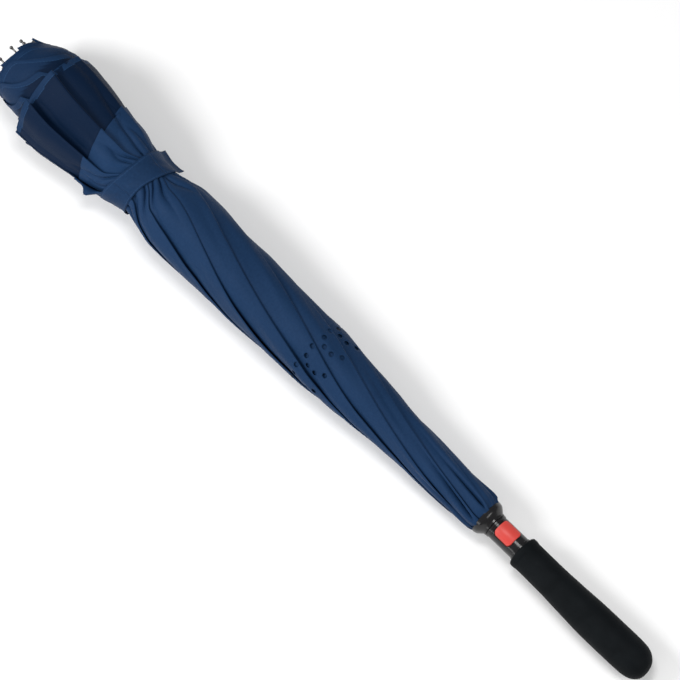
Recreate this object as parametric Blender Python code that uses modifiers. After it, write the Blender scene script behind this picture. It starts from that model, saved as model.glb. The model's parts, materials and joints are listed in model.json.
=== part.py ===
# Inverted umbrella, closed and lying on its side.
# It is modelled upright: the shaft runs up +Z from the grip's end, and +X is the side that faces up
# once the umbrella lies down. The empty "lay" then tips it over, so that +Z points along -X.

import math

import bmesh
import bpy
import numpy as np
from mathutils import Matrix, Vector

# Running gap between pieces that touch, and overrun of cutters
GAP = 0.0003
OVERRUN = 0.002

# Grip
GRIP_LENGTH = 0.1626
GRIP_RADIUS = 0.01785
GRIP_WAIST_SHIFT = 0.0006
GRIP_BORE_DEPTH = 0.130
# share of the length up from the grip's end, share of the widest radius
GRIP_OUTLINE_SHARES = (
    (1.0, 0.86), (0.998, 0.915), (0.985, 0.94), (0.968, 0.925), (0.958, 0.885), (0.88, 0.868),
    (0.77, 0.868), (0.66, 0.895), (0.55, 0.945), (0.44, 0.985), (0.33, 1.0), (0.22, 0.975),
    (0.13, 0.915), (0.065, 0.79), (0.025, 0.60), (0.006, 0.33), (0.0, 0.0),
)

# Shaft
SHAFT_RADIUS = 0.0055
SHAFT_WALL = 0.0008
PLUG_LENGTH = 0.010
MAIN_SPRING_WIRE = 0.0007
MAIN_SPRING_TURNS = 22

# Button housing
HOUSING_LENGTH = 0.0306
HOUSING_RADIUS = 0.0115
HOUSING_WALL = 0.0012
HOUSING_END_WALL = 0.0028
HOUSING_RING_HEIGHT = 0.0006
HOUSING_RING_WIDTH = 0.0022

# Push button and its catch
BUTTON_LENGTH = 0.0195
BUTTON_WIDTH = 0.0173
BUTTON_CORNER = 0.0045
BUTTON_PROUD = 0.0017
BUTTON_TRAVEL = 0.0015
BUTTON_SIDE_RISE = 0.0054
BUTTON_TURN = math.radians(2)
CATCH_WIDTH = 0.0012
CATCH_THICKNESS = 0.0016
BUTTON_SPRING_RADIUS = 0.0018
BUTTON_SPRING_WIRE = 0.0005
BUTTON_SPRING_TURNS = 3

# Runner
SKIRT_WALL = 0.0010
SKIRT_LENGTH = 0.0160
HUB_WALL = 0.0027
HUB_NECK_LENGTH = 0.0180
HUB_TOP_LENGTH = 0.0080
FLANGE_RADIUS = 0.0144
FLANGE_THICKNESS = 0.0078
RIB_CIRCLE_RADIUS = 0.0118
RIB_WIRE_RADIUS = 0.0005
COLLAR_LENGTH = 0.0115
COLLAR_FOOT_RADIUS = 0.0130
COLLAR_RIM_RADIUS = 0.0175
COLLAR_WALL = 0.0013
COLLAR_BASE = 0.0020
DRIVE_PIN_RADIUS = 0.0010
DRIVE_PIN_RISE = 0.0065
PIN_SLOT_GAP = 0.0005
PLUNGER_LENGTH = 0.0060

# Ribs, their tips and the stretchers
RIB_COUNT = 8
RIB_LENGTH = 0.592
RIB_SPLAY = math.radians(0.68)
RIB_OPEN_ANGLE = math.radians(100)
RIB_WIDTH = 0.0036
RIB_DEPTH = 0.0028
RIB_WALL = 0.0006
RIB_EYE_RADIUS = 0.0018
RIB_EYE_THICKNESS = 0.0018
RIB_NECK_LENGTH = 0.0040
RIB_NECK_HEIGHT = 0.0024
TIP_SHANK_LENGTH = 0.008
TIP_PRONG_LENGTH = 0.0085
TIP_BALL_RADIUS = 0.0017
RIB_BOW_LENGTH = 0.1705
RIB_BOW = 0.0081
RIB_BOW_CUTS = 6
STRETCHER_JOINT = 0.240
STRETCHER_EXTRA = 0.040
STRETCHER_THICKNESS = 0.0016
STRETCHER_HEIGHT = 0.0022
STRETCHER_PIN_RADIUS = 0.0005

# Crown
NOTCH_CIRCLE_RADIUS = 0.0083
NOTCH_RADIUS = 0.0110
NOTCH_THICKNESS = 0.0080
SLOT_SIDE_GAP = 0.0004
CAP_RADIUS = 0.0069
CAP_LENGTH = 0.0180
CAP_SOCKET = 0.0080

# Canopy
GORE_TUCK = 0.0018
HEM_PAST_RIB = 0.0031
HEM_OVER_RIB = 0.0046
HEM_LENGTH = 0.0485
FLARE_DEPTH = 0.0262
GORE_THICKNESS = 0.0012
GORE_LAYER_GAP = 0.0010
FOLD_STEP = 0.0024
FLARE_STEP = 0.0050
FIRST_RIB_TURN = math.radians(8)
WRAP_AT_COLLAR = math.radians(42)
WRAP_TO_STRAP = math.radians(248)
WRAP_TO_FOLD_END = math.radians(8)
HEM_SWEEP = math.radians(290)
WAIST_SHARE = 0.434
# share of the fold's length, share of how far the flare stands out over the ribs
BUNDLE_OUTLINE_SHARES = (
    (0.0, 0.126), (0.0033, 0.133), (0.0087, 0.26), (0.0174, 0.3), (0.0598, 0.297), (0.1169, 0.298),
    (0.1684, 0.311), (0.2206, 0.339), (0.3027, 0.509), (0.3738, 0.625), (0.4303, 0.623), (0.4868, 0.641),
    (0.5433, 0.658), (0.6085, 0.641), (0.6715, 0.662), (0.7259, 0.668), (0.74, 0.478),
    (0.7884, WAIST_SHARE), (0.8193, 0.459), (0.828, 0.647), (0.8508, 0.797), (0.8834, 0.83),
    (0.9171, 0.833), (0.9492, 0.949), (0.9812, 1), (1.0, 0.907),
)
HEM_SHARES = (0.10, 0.20, 0.30, 0.40, 0.50, 0.60, 0.70, 0.79, 0.87, 0.94)
# share of the angle between two folds, back from a gore's own fold
ACROSS_SHARES = (0.0, 0.28, 0.58, 0.86, 0.97, 1.28)
CROWN_END_GAP = 0.0180
CROWN_THICKNESS = 0.0012
CROWN_HEIGHT = 0.0030

# Strap
STRAP_STATION_SHARE = 0.7795
STRAP_WIDTH = 0.0250
STRAP_THICKNESS = 0.0010
STRAP_LAY_GAP = 0.0012
STRAP_CLIMB = 0.0018
STRAP_PIECES = 4
STRAP_START = math.radians(118)
STRAP_TURN = math.radians(317)
STRAP_SLANT = 0.0065
STRAP_TAIL = 0.016

# How it lies: the grip's fat end and the flare rest on the ground
FLARE_REST_SHARE = 0.842
FLARE_STATION_SHARE = 0.981

# Sizes worked out from the ones above
RUNNER_BORE = SHAFT_RADIUS + GAP
SKIRT_RADIUS = RUNNER_BORE + SKIRT_WALL
HUB_RADIUS = RUNNER_BORE + HUB_WALL
HOUSING_START = GRIP_LENGTH + GAP
HOUSING_END = HOUSING_START + HOUSING_LENGTH
COLLAR_START = HOUSING_END + GAP
SKIRT_START = HOUSING_END - SKIRT_LENGTH
NECK_END = COLLAR_START + HUB_NECK_LENGTH
FLANGE_END = NECK_END + FLANGE_THICKNESS
HINGE_STATION = FLANGE_END - GAP - RIB_WALL - RIB_EYE_RADIUS
HUB_END = FLANGE_END + HUB_TOP_LENGTH
PIN_STATION = COLLAR_START + DRIVE_PIN_RISE
BUTTON_STATION = (HOUSING_START + HOUSING_END) / 2 + GAP
BUTTON_TOP_RADIUS = HOUSING_RADIUS + BUTTON_PROUD
CATCH_INNER_RADIUS = SKIRT_RADIUS + GAP
CATCH_OUTER_RADIUS = CATCH_INNER_RADIUS + CATCH_WIDTH
BUTTON_UNDER_RADIUS = max(CATCH_OUTER_RADIUS + GAP, SKIRT_RADIUS + GAP + BUTTON_TRAVEL)
PIN_SLOT_WIDTH = 2 * (DRIVE_PIN_RADIUS + PIN_SLOT_GAP)
TUBE_START = GRIP_LENGTH - GRIP_BORE_DEPTH + GAP
NOTCH_STATION = HINGE_STATION + 2 * STRETCHER_JOINT + STRETCHER_EXTRA
NOTCH_END = NOTCH_STATION + NOTCH_THICKNESS / 2
TUBE_END = NOTCH_END + CAP_SOCKET
TIP_STATION = RIB_LENGTH + TIP_PRONG_LENGTH
RIB_STEP = 2 * math.pi / RIB_COUNT
RIB_BOW_START = TIP_STATION - RIB_BOW_LENGTH
GORE_START = COLLAR_START + COLLAR_LENGTH - GORE_TUCK
GORE_LENGTH = HINGE_STATION + RIB_LENGTH + HEM_PAST_RIB - GORE_START
FOLD_LENGTH = GORE_LENGTH - HEM_LENGTH
STRAP_STATION = GORE_START + STRAP_STATION_SHARE * FOLD_LENGTH
FLARE_REST_STATION = GORE_START + FLARE_STATION_SHARE * FOLD_LENGTH


# Beyond the strap a rib bows out, so that its tip stands further from the shaft
def rib_bow(along):
    share = max(0, (along - RIB_BOW_START) / (TIP_STATION - RIB_BOW_START))
    return RIB_BOW * share ** 2


# How far the ribs stand out from the shaft when the umbrella is closed
def frame_radius(station):
    along = max(0, station - HINGE_STATION)
    return RIB_CIRCLE_RADIUS + along * math.sin(RIB_SPLAY) + rib_bow(along)


def bundle_radius(share):
    shares, depths = zip(*BUNDLE_OUTLINE_SHARES)
    return frame_radius(GORE_START + share * FOLD_LENGTH) + FLARE_DEPTH * np.interp(share, shares, depths)


FLARE_REST_HEIGHT = FLARE_REST_SHARE * bundle_radius(FLARE_STATION_SHARE)
TILT = math.atan2(FLARE_REST_HEIGHT - GRIP_RADIUS, FLARE_REST_STATION - GRIP_LENGTH / 3)


# Where the frame stands closed and open. Radii and stations are in the plane of one rib.
def frame_motion():
    joint = Vector((RIB_CIRCLE_RADIUS + STRETCHER_JOINT * math.sin(RIB_SPLAY),
                    HINGE_STATION + STRETCHER_JOINT * math.cos(RIB_SPLAY)))
    notch = Vector((NOTCH_CIRCLE_RADIUS, NOTCH_STATION))
    reach = (notch - joint).length
    open_radius = RIB_CIRCLE_RADIUS + STRETCHER_JOINT * math.sin(RIB_OPEN_ANGLE)
    drop = math.sqrt(reach ** 2 - (open_radius - notch.x) ** 2)
    open_hinge = notch.y - drop - STRETCHER_JOINT * math.cos(RIB_OPEN_ANGLE)
    travel = open_hinge - HINGE_STATION
    closed_lean = math.atan2(notch.x - joint.x, notch.y - joint.y)
    open_lean = math.atan2(notch.x - open_radius, drop)
    rib_swing = RIB_OPEN_ANGLE - RIB_SPLAY
    stretcher_swing = (open_lean - closed_lean) - rib_swing
    return joint, notch, reach, travel, closed_lean, rib_swing, stretcher_swing


JOINT_POINT, NOTCH_POINT, STRETCHER_LENGTH, TRAVEL, STRETCHER_LEAN, RIB_SWING, STRETCHER_SWING = (
    frame_motion())
CROWN_END = STRETCHER_LENGTH - CROWN_END_GAP


def material(name, colour, roughness, metallic=0.0):
    made = bpy.data.materials.new(name)
    made.use_nodes = True
    shader = made.node_tree.nodes["Principled BSDF"]
    shader.inputs["Base Color"].default_value = (*colour, 1.0)
    shader.inputs["Roughness"].default_value = roughness
    shader.inputs["Metallic"].default_value = metallic
    made.diffuse_color = (*colour, 1.0)
    return made


def link(obj, collection, parent=None, finish=None):
    collection.objects.link(obj)
    if parent is not None:
        obj.parent = parent
    if finish is not None:
        obj.data.materials.append(material(obj.name, *finish))
    return obj


def smooth(obj, angle=math.radians(35)):
    obj.data.shade_smooth()
    obj.data.set_sharp_from_angle(angle=angle)


# A piece turned about Z. The outline runs down the outer side; a closed one comes back up the bore.
def turned(name, outline, steps, closed=True):
    mesh = bpy.data.meshes.new(name)
    points = [(radius, 0, station) for radius, station in outline]
    edges = [(i, i + 1) for i in range(len(points) - 1)]
    if closed:
        edges.append((len(points) - 1, 0))
    mesh.from_pydata(points, edges, [])
    obj = bpy.data.objects.new(name, mesh)
    screw = obj.modifiers.new("Turn", "SCREW")
    screw.steps = steps
    screw.render_steps = steps
    screw.use_merge_vertices = True
    screw.merge_threshold = GAP / 100
    screw.use_smooth_shade = True
    return obj


# The evaluated mesh of an object, welded, in a new object with the same name
def baked(obj):
    scene = bpy.context.scene
    scene.collection.objects.link(obj)
    bpy.context.view_layer.update()
    depsgraph = bpy.context.evaluated_depsgraph_get()
    mesh = bpy.data.meshes.new_from_object(obj.evaluated_get(depsgraph))
    body = bmesh.new()
    body.from_mesh(mesh)
    bmesh.ops.remove_doubles(body, verts=body.verts, dist=GAP / 100)
    bmesh.ops.recalc_face_normals(body, faces=body.faces)
    body.to_mesh(mesh)
    body.free()
    name = obj.name
    data = obj.data
    bpy.data.objects.remove(obj)
    if isinstance(data, bpy.types.Curve):
        bpy.data.curves.remove(data)
    made = bpy.data.objects.new(name, mesh)
    made.data.name = name
    return made


# A flat plate in the XY plane, centred on it, with any holes as further loops
def plate(name, loops, thickness):
    curve = bpy.data.curves.new(name, "CURVE")
    curve.dimensions = "2D"
    curve.fill_mode = "BOTH"
    curve.extrude = thickness / 2
    for loop in loops:
        spline = curve.splines.new("POLY")
        spline.points.add(len(loop) - 1)
        for point, (x, y) in zip(spline.points, loop):
            point.co = (x, y, 0, 1)
        spline.use_cyclic_u = True
    return baked(bpy.data.objects.new(name, curve))


def arc(centre, radius, start, end, steps):
    return [(centre[0] + radius * math.cos(a), centre[1] + radius * math.sin(a))
            for a in np.linspace(start, end, steps + 1)]


def circle(centre, radius, steps):
    return arc(centre, radius, 0, 2 * math.pi, steps)[:-1]


def rounded_rectangle(width, height, corner, steps):
    points = []
    for quarter, (sx, sy) in enumerate(((1, 1), (-1, 1), (-1, -1), (1, -1))):
        centre = (sx * (width / 2 - corner), sy * (height / 2 - corner))
        start = quarter * math.pi / 2
        points += arc(centre, corner, start, start + math.pi / 2, steps)
    return points


# A cutter or a tool body, kept out of the build
def hide(obj):
    obj.hide_render = True
    obj.display_type = "WIRE"
    return link(obj, cutters)


def cut(obj, cutter, operation="DIFFERENCE"):
    boolean = obj.modifiers.new(operation.title(), "BOOLEAN")
    boolean.operation = operation
    boolean.object = cutter
    boolean.solver = "EXACT"


def box(name, low, high):
    mesh = bpy.data.meshes.new(name)
    body = bmesh.new()
    bmesh.ops.create_cube(body, size=1)
    size = Vector(high) - Vector(low)
    middle = (Vector(high) + Vector(low)) / 2
    bmesh.ops.scale(body, vec=size, verts=body.verts)
    bmesh.ops.translate(body, vec=middle, verts=body.verts)
    body.to_mesh(mesh)
    body.free()
    return bpy.data.objects.new(name, mesh)


def cylinder(name, radius, low, high, steps, axis="Z"):
    mesh = bpy.data.meshes.new(name)
    body = bmesh.new()
    bmesh.ops.create_cone(body, cap_ends=True, segments=steps, radius1=radius, radius2=radius,
                          depth=high - low)
    bmesh.ops.translate(body, vec=(0, 0, (high + low) / 2), verts=body.verts)
    if axis == "Y":
        turn = Matrix.Rotation(-math.pi / 2, 3, "X")
        bmesh.ops.transform(body, matrix=turn.to_4x4(), verts=body.verts)
    body.to_mesh(mesh)
    body.free()
    return bpy.data.objects.new(name, mesh)


def empty(name, parent, matrix):
    made = bpy.data.objects.new(name, None)
    made.empty_display_size = HOUSING_RADIUS
    parts.objects.link(made)
    made.parent = parent
    made.matrix_local = matrix
    return made


# A round coil along Z on a poly spline, ends flat on its end turns
def coil(name, radius, wire, low, high, turns, points_a_turn, sides):
    curve = bpy.data.curves.new(name, "CURVE")
    curve.dimensions = "3D"
    curve.bevel_depth = wire
    curve.bevel_resolution = sides
    curve.use_fill_caps = True
    spline = curve.splines.new("POLY")
    count = turns * points_a_turn + 1
    spline.points.add(count - 1)
    for i, point in enumerate(spline.points):
        turn = 2 * math.pi * i / points_a_turn
        rise = low + wire + (high - low - 2 * wire) * i / (count - 1)
        point.co = (radius * math.cos(turn), radius * math.sin(turn), rise, 1)
    return bpy.data.objects.new(name, curve)


BLACK_MATTE = ((0.012, 0.014, 0.016), 0.62)
BLACK_GLOSS = ((0.010, 0.010, 0.011), 0.18)
RED_GLOSS = ((0.82, 0.045, 0.030), 0.30)
STEEL = ((0.48, 0.49, 0.50), 0.28, 1.0)
DARK_STEEL = ((0.10, 0.10, 0.11), 0.35, 1.0)
ZINC = ((0.62, 0.62, 0.60), 0.32, 1.0)
NAVY = ((0.018, 0.046, 0.125), 0.80)

for old in list(bpy.data.objects):
    bpy.data.objects.remove(old)

parts = bpy.data.collections.new("inverted_umbrella")
cutters = bpy.data.collections.new("cutters")
bpy.context.scene.collection.children.link(parts)
bpy.context.scene.collection.children.link(cutters)


# Height of the shaft's axis over the grip's end once the fat grip touches the ground
def rest_height():
    return max(share[1] * GRIP_RADIUS * math.cos(TILT) - share[0] * GRIP_LENGTH * math.sin(TILT)
               for share in GRIP_OUTLINE_SHARES)


REST_HEIGHT = rest_height()
lay = bpy.data.objects.new("lay", None)
parts.objects.link(lay)
lay.rotation_euler = (0, TILT - math.pi / 2, 0)


# Depth of the ground under the axis, at a station along the shaft
def ground_depth(station):
    return (REST_HEIGHT + math.sin(TILT) * station) / math.cos(TILT)


def build_grip():
    outline = [(share_r * GRIP_RADIUS, share_s * GRIP_LENGTH)
               for share_s, share_r in GRIP_OUTLINE_SHARES]
    bore = SHAFT_RADIUS + GAP
    bottom = GRIP_LENGTH - GRIP_BORE_DEPTH
    solid = turned("grip", [(0, bottom), (bore, bottom), (bore, GRIP_LENGTH)] + outline, 36,
                   closed=False)
    grip = baked(solid)
    # the waist is drawn in on one side only, so the middle of the grip leans to the other
    for vertex in grip.data.vertices:
        share = vertex.co.z / GRIP_LENGTH
        if math.hypot(vertex.co.x, vertex.co.y) > bore + GAP:
            vertex.co.y -= GRIP_WAIST_SHIFT * math.sin(math.pi * min(1, max(0, share))) ** 2
    smooth(grip)
    link(grip, parts, lay, BLACK_MATTE)


def build_shaft():
    bore = SHAFT_RADIUS - SHAFT_WALL
    tube = turned("shaft_tube", [(SHAFT_RADIUS, TUBE_END), (SHAFT_RADIUS, TUBE_START),
                                 (bore, TUBE_START), (bore, TUBE_END)], 28)
    slot = box("pin_slot", (-PIN_SLOT_WIDTH / 2, -SHAFT_RADIUS - OVERRUN, PIN_STATION - PIN_SLOT_WIDTH),
               (PIN_SLOT_WIDTH / 2, SHAFT_RADIUS + OVERRUN, PIN_STATION + TRAVEL + PIN_SLOT_WIDTH))
    slot.parent = lay
    cut(tube, hide(slot))
    link(tube, parts, lay, STEEL)
    plug_radius = bore - GAP
    plug = turned("shaft_plug", [(0, TUBE_START + PLUG_LENGTH), (plug_radius, TUBE_START + PLUG_LENGTH),
                                 (plug_radius, TUBE_START), (0, TUBE_START)], 20, closed=False)
    link(plug, parts, lay, BLACK_MATTE)
    spring_radius = bore - GAP - MAIN_SPRING_WIRE
    spring = coil("main_spring", spring_radius, MAIN_SPRING_WIRE, TUBE_START + PLUG_LENGTH + GAP,
                  PIN_STATION - PLUNGER_LENGTH / 2 - GAP, MAIN_SPRING_TURNS, 6, 0)
    link(spring, parts, lay, STEEL)


def build_housing():
    low, high = HOUSING_START, HOUSING_END
    ring, wide = HOUSING_RADIUS + HOUSING_RING_HEIGHT, HOUSING_RING_WIDTH
    inner = HOUSING_RADIUS - HOUSING_WALL
    cavity = (low + HOUSING_END_WALL, high - HOUSING_END_WALL)
    top_bore = SKIRT_RADIUS + GAP
    outline = [(top_bore, high), (HOUSING_RADIUS, high), (ring, high - GAP), (ring, high - wide),
               (HOUSING_RADIUS, high - wide - GAP), (HOUSING_RADIUS, low + wide + GAP),
               (ring, low + wide), (ring, low), (SHAFT_RADIUS + GAP, low),
               (SHAFT_RADIUS + GAP, cavity[0]), (inner, cavity[0]), (inner, cavity[1]),
               (top_bore, cavity[1])]
    housing = turned("button_housing", outline, 32)
    window = plate("button_window", [rounded_rectangle(BUTTON_WIDTH + 2 * GAP, BUTTON_LENGTH + 2 * GAP,
                                                       BUTTON_CORNER + GAP, 5)],
                   2 * (HOUSING_RADIUS - BUTTON_SIDE_RISE + BUTTON_TRAVEL))
    window.parent = button_frame
    window.matrix_local = facing(HOUSING_RADIUS, BUTTON_STATION)
    cut(housing, hide(window))
    link(housing, parts, lay, BLACK_GLOSS)


# Places a flat outline so that its plane faces out along +X at a radius, its height along Z
def facing(radius, station):
    return (Matrix.Translation((radius, 0, station))
            @ Matrix(((0, 0, 1, 0), (1, 0, 0, 0), (0, 1, 0, 0), (0, 0, 0, 1))))


def build_button():
    blank = plate("button_blank", [rounded_rectangle(BUTTON_WIDTH, BUTTON_LENGTH, BUTTON_CORNER, 5)],
                  2 * (BUTTON_TOP_RADIUS - BUTTON_SIDE_RISE))
    blank.data.transform(facing(BUTTON_TOP_RADIUS, BUTTON_STATION))
    blank.parent = button_frame
    low, high = BUTTON_STATION - BUTTON_LENGTH, BUTTON_STATION + BUTTON_LENGTH
    crown = BUTTON_TOP_RADIUS - BUTTON_PROUD / 2
    outline = [(BUTTON_UNDER_RADIUS, high), (crown, high),
               (crown, BUTTON_STATION + BUTTON_LENGTH / 2),
               (BUTTON_TOP_RADIUS, BUTTON_STATION + BUTTON_LENGTH / 3),
               (BUTTON_TOP_RADIUS, BUTTON_STATION - BUTTON_LENGTH / 3),
               (crown, BUTTON_STATION - BUTTON_LENGTH / 2), (crown, low), (BUTTON_UNDER_RADIUS, low)]
    button = turned("push_button", outline, 48)
    cut(button, hide(blank), "INTERSECT")
    link(button, parts, button_frame, RED_GLOSS)
    leg = math.sqrt(BUTTON_UNDER_RADIUS ** 2 - CATCH_OUTER_RADIUS ** 2) - GAP
    horseshoe = ([(leg, CATCH_OUTER_RADIUS)]
                 + arc((0, 0), CATCH_OUTER_RADIUS, math.pi / 2, 3 * math.pi / 2, 20)
                 + [(leg, -CATCH_OUTER_RADIUS), (leg, -CATCH_INNER_RADIUS)]
                 + arc((0, 0), CATCH_INNER_RADIUS, 3 * math.pi / 2, math.pi / 2, 20)
                 + [(leg, CATCH_INNER_RADIUS)])
    catch = plate("catch_plate", [horseshoe], CATCH_THICKNESS)
    catch.location = (0, 0, BUTTON_STATION)
    link(catch, parts, button_frame, STEEL)
    spring = coil("button_spring", BUTTON_SPRING_RADIUS - BUTTON_SPRING_WIRE, BUTTON_SPRING_WIRE / 2,
                  SHAFT_RADIUS + GAP, BUTTON_UNDER_RADIUS - GAP, BUTTON_SPRING_TURNS, 8, 0)
    spring.rotation_euler = (0, math.pi / 2, 0)
    spring.location = (0, 0, BUTTON_STATION - BUTTON_LENGTH / 2 + BUTTON_SPRING_RADIUS + GAP)
    link(spring, parts, button_frame, STEEL)


def build_runner():
    groove = RIB_WIRE_RADIUS + GAP
    hub = turned("runner_hub", [
        (RUNNER_BORE, HUB_END), (HUB_RADIUS, HUB_END), (HUB_RADIUS, FLANGE_END),
        (RIB_CIRCLE_RADIUS - groove, FLANGE_END), (RIB_CIRCLE_RADIUS - groove, HINGE_STATION - groove),
        (RIB_CIRCLE_RADIUS + groove, HINGE_STATION - groove), (RIB_CIRCLE_RADIUS + groove, FLANGE_END),
        (FLANGE_RADIUS, FLANGE_END), (FLANGE_RADIUS, NECK_END), (HUB_RADIUS, NECK_END),
        (HUB_RADIUS, COLLAR_START), (SKIRT_RADIUS, COLLAR_START), (SKIRT_RADIUS, SKIRT_START),
        (RUNNER_BORE, SKIRT_START)], 32)
    hole = cylinder("pin_hole", DRIVE_PIN_RADIUS + GAP, -FLANGE_RADIUS, FLANGE_RADIUS, 12, "Y")
    hole.parent = runner_frame
    hole.location = (0, 0, PIN_STATION - HINGE_STATION)
    cut(hub, hide(hole))
    slot_half = RIB_EYE_THICKNESS / 2 + SLOT_SIDE_GAP
    low = HINGE_STATION - RIB_EYE_RADIUS - GAP
    for i in range(RIB_COUNT):
        slot = box(f"rib_slot_{i + 1}", (RIB_CIRCLE_RADIUS - RIB_EYE_RADIUS - GAP, -slot_half,
                                         low - HINGE_STATION - RIB_WALL),
                   (FLANGE_RADIUS + OVERRUN, slot_half, FLANGE_END - HINGE_STATION + OVERRUN))
        slot.parent = rib_turns[i]
        cut(hub, hide(slot))
    hub.data.transform(Matrix.Translation((0, 0, -HINGE_STATION)))
    link(hub, parts, runner_frame, BLACK_MATTE)

    low, high = COLLAR_START, COLLAR_START + COLLAR_LENGTH
    collar = turned("runner_collar", [
        (COLLAR_RIM_RADIUS - COLLAR_WALL, high), (COLLAR_RIM_RADIUS, high - GAP),
        (COLLAR_RIM_RADIUS, high - COLLAR_BASE), (COLLAR_FOOT_RADIUS, low), (HUB_RADIUS + GAP, low),
        (HUB_RADIUS + GAP, low + COLLAR_BASE), (COLLAR_FOOT_RADIUS - COLLAR_WALL / 2, low + COLLAR_BASE),
        (COLLAR_RIM_RADIUS - COLLAR_WALL, high - COLLAR_BASE)], 32)
    collar.data.transform(Matrix.Translation((0, 0, -HINGE_STATION)))
    link(collar, parts, runner_frame, BLACK_GLOSS)

    bpy.ops.mesh.primitive_torus_add(major_radius=RIB_CIRCLE_RADIUS, minor_radius=RIB_WIRE_RADIUS,
                                     major_segments=40, minor_segments=6)
    wire = bpy.context.object
    wire.name = "rib_wire"
    for owner in list(wire.users_collection):
        owner.objects.unlink(wire)
    link(wire, parts, runner_frame, STEEL)

    pin_half = HUB_RADIUS - GAP
    pin = cylinder("drive_pin", DRIVE_PIN_RADIUS, -pin_half, pin_half, 12, "Y")
    pin.location = (0, 0, PIN_STATION - HINGE_STATION)
    link(pin, parts, runner_frame, STEEL)
    bore = SHAFT_RADIUS - SHAFT_WALL - GAP
    plunger = cylinder("spring_plunger", bore, -PLUNGER_LENGTH / 2, PLUNGER_LENGTH / 2, 20)
    plunger.location = (0, 0, PIN_STATION - HINGE_STATION)
    cut(plunger, hole)
    link(plunger, parts, runner_frame, BLACK_MATTE)


def build_crown():
    notch = turned("top_notch", [
        (SHAFT_RADIUS + GAP, NOTCH_END), (NOTCH_RADIUS, NOTCH_END),
        (NOTCH_RADIUS, NOTCH_END - NOTCH_THICKNESS), (SHAFT_RADIUS + GAP, NOTCH_END - NOTCH_THICKNESS)], 24)
    floor = NOTCH_CIRCLE_RADIUS - STRETCHER_HEIGHT / 2 - GAP
    half = STRETCHER_THICKNESS / 2 + SLOT_SIDE_GAP
    rise = NOTCH_THICKNESS / 2 + OVERRUN
    for i in range(RIB_COUNT):
        slot = box(f"stretcher_slot_{i + 1}", (floor, -half, (NOTCH_STATION - HINGE_STATION) - rise),
                   (NOTCH_RADIUS + OVERRUN, half, (NOTCH_STATION - HINGE_STATION) + rise))
        slot.parent = rib_turns[i]
        cut(notch, hide(slot))
    link(notch, parts, lay, BLACK_MATTE)
    low, high = NOTCH_END + GAP, NOTCH_END + CAP_LENGTH
    dome = arc((0, high - CAP_RADIUS), CAP_RADIUS, math.pi / 2, 0, 6)
    socket = SHAFT_RADIUS + GAP
    cap = turned("top_cap", dome + [(CAP_RADIUS, low), (socket, low), (socket, TUBE_END + GAP),
                                    (0, TUBE_END + GAP)], 20, closed=False)
    link(cap, parts, lay, BLACK_MATTE)


def bowed(mesh):
    body = bmesh.new()
    body.from_mesh(mesh)
    for along in np.linspace(RIB_BOW_START, RIB_LENGTH - TIP_SHANK_LENGTH, RIB_BOW_CUTS):
        bmesh.ops.bisect_plane(body, geom=body.verts[:] + body.edges[:] + body.faces[:],
                               plane_co=(0, 0, along), plane_no=(0, 0, 1))
    for vertex in body.verts:
        vertex.co.x += rib_bow(vertex.co.z)
    bmesh.ops.triangulate(body, faces=body.faces)
    body.to_mesh(mesh)
    body.free()
    return mesh


# One rib along +Z from its hinge, its open side towards the shaft, with the stretcher's pin
def rib_mesh():
    half, wall = RIB_WIDTH / 2, RIB_WALL
    web = STRETCHER_HEIGHT / 2 + GAP + wall
    lip = web - RIB_DEPTH
    channel = plate("rib", [[(web, -half), (web, half), (lip, half), (lip, half - wall),
                             (web - wall, half - wall), (web - wall, wall - half),
                             (lip, wall - half), (lip, -half)]], RIB_LENGTH - RIB_NECK_LENGTH)
    channel.data.transform(Matrix.Translation((0, 0, (RIB_LENGTH + RIB_NECK_LENGTH) / 2)))
    bar = RIB_NECK_HEIGHT / 2
    neck_end = 2 * RIB_NECK_LENGTH
    side = math.sqrt(RIB_EYE_RADIUS ** 2 - bar ** 2)
    half_turn = math.asin(bar / RIB_EYE_RADIUS)
    eye = arc((0, 0), RIB_EYE_RADIUS, half_turn, 2 * math.pi - half_turn, 12)
    outline = [(neck_end, -bar), (neck_end, web - wall / 2), (RIB_NECK_LENGTH, web - wall / 2),
               (side + bar, bar)] + eye
    neck = plate("rib_neck", [outline, circle((0, 0), RIB_WIRE_RADIUS + GAP, 8)], RIB_EYE_THICKNESS)
    # the plate's X becomes the rib's length and its Y the way out from the shaft
    neck.data.transform(Matrix(((0, 1, 0, 0), (0, 0, 1, 0), (1, 0, 0, 0), (0, 0, 0, 1))))
    pin = cylinder("stretcher_pin", STRETCHER_PIN_RADIUS, -half + wall / 2, half - wall / 2, 8, "Y")
    pin.location = (0, 0, STRETCHER_JOINT)
    cut(channel, hide(neck), "UNION")
    cut(channel, hide(pin), "UNION")
    return bowed(baked(channel).data)


def stretcher_mesh():
    half = STRETCHER_HEIGHT / 2
    outline = (arc((0, 0), half, math.pi / 2, 3 * math.pi / 2, 6)
               + arc((STRETCHER_LENGTH, 0), half, -math.pi / 2, math.pi / 2, 6))
    eye = STRETCHER_PIN_RADIUS + GAP
    bar = plate("stretcher", [outline, circle((0, 0), eye, 8), circle((STRETCHER_LENGTH, 0), eye, 8)],
                STRETCHER_THICKNESS)
    bar.data.transform(Matrix(((0, 1, 0, 0), (0, 0, 1, 0), (1, 0, 0, 0), (0, 0, 0, 1))))
    return bar.data


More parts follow.
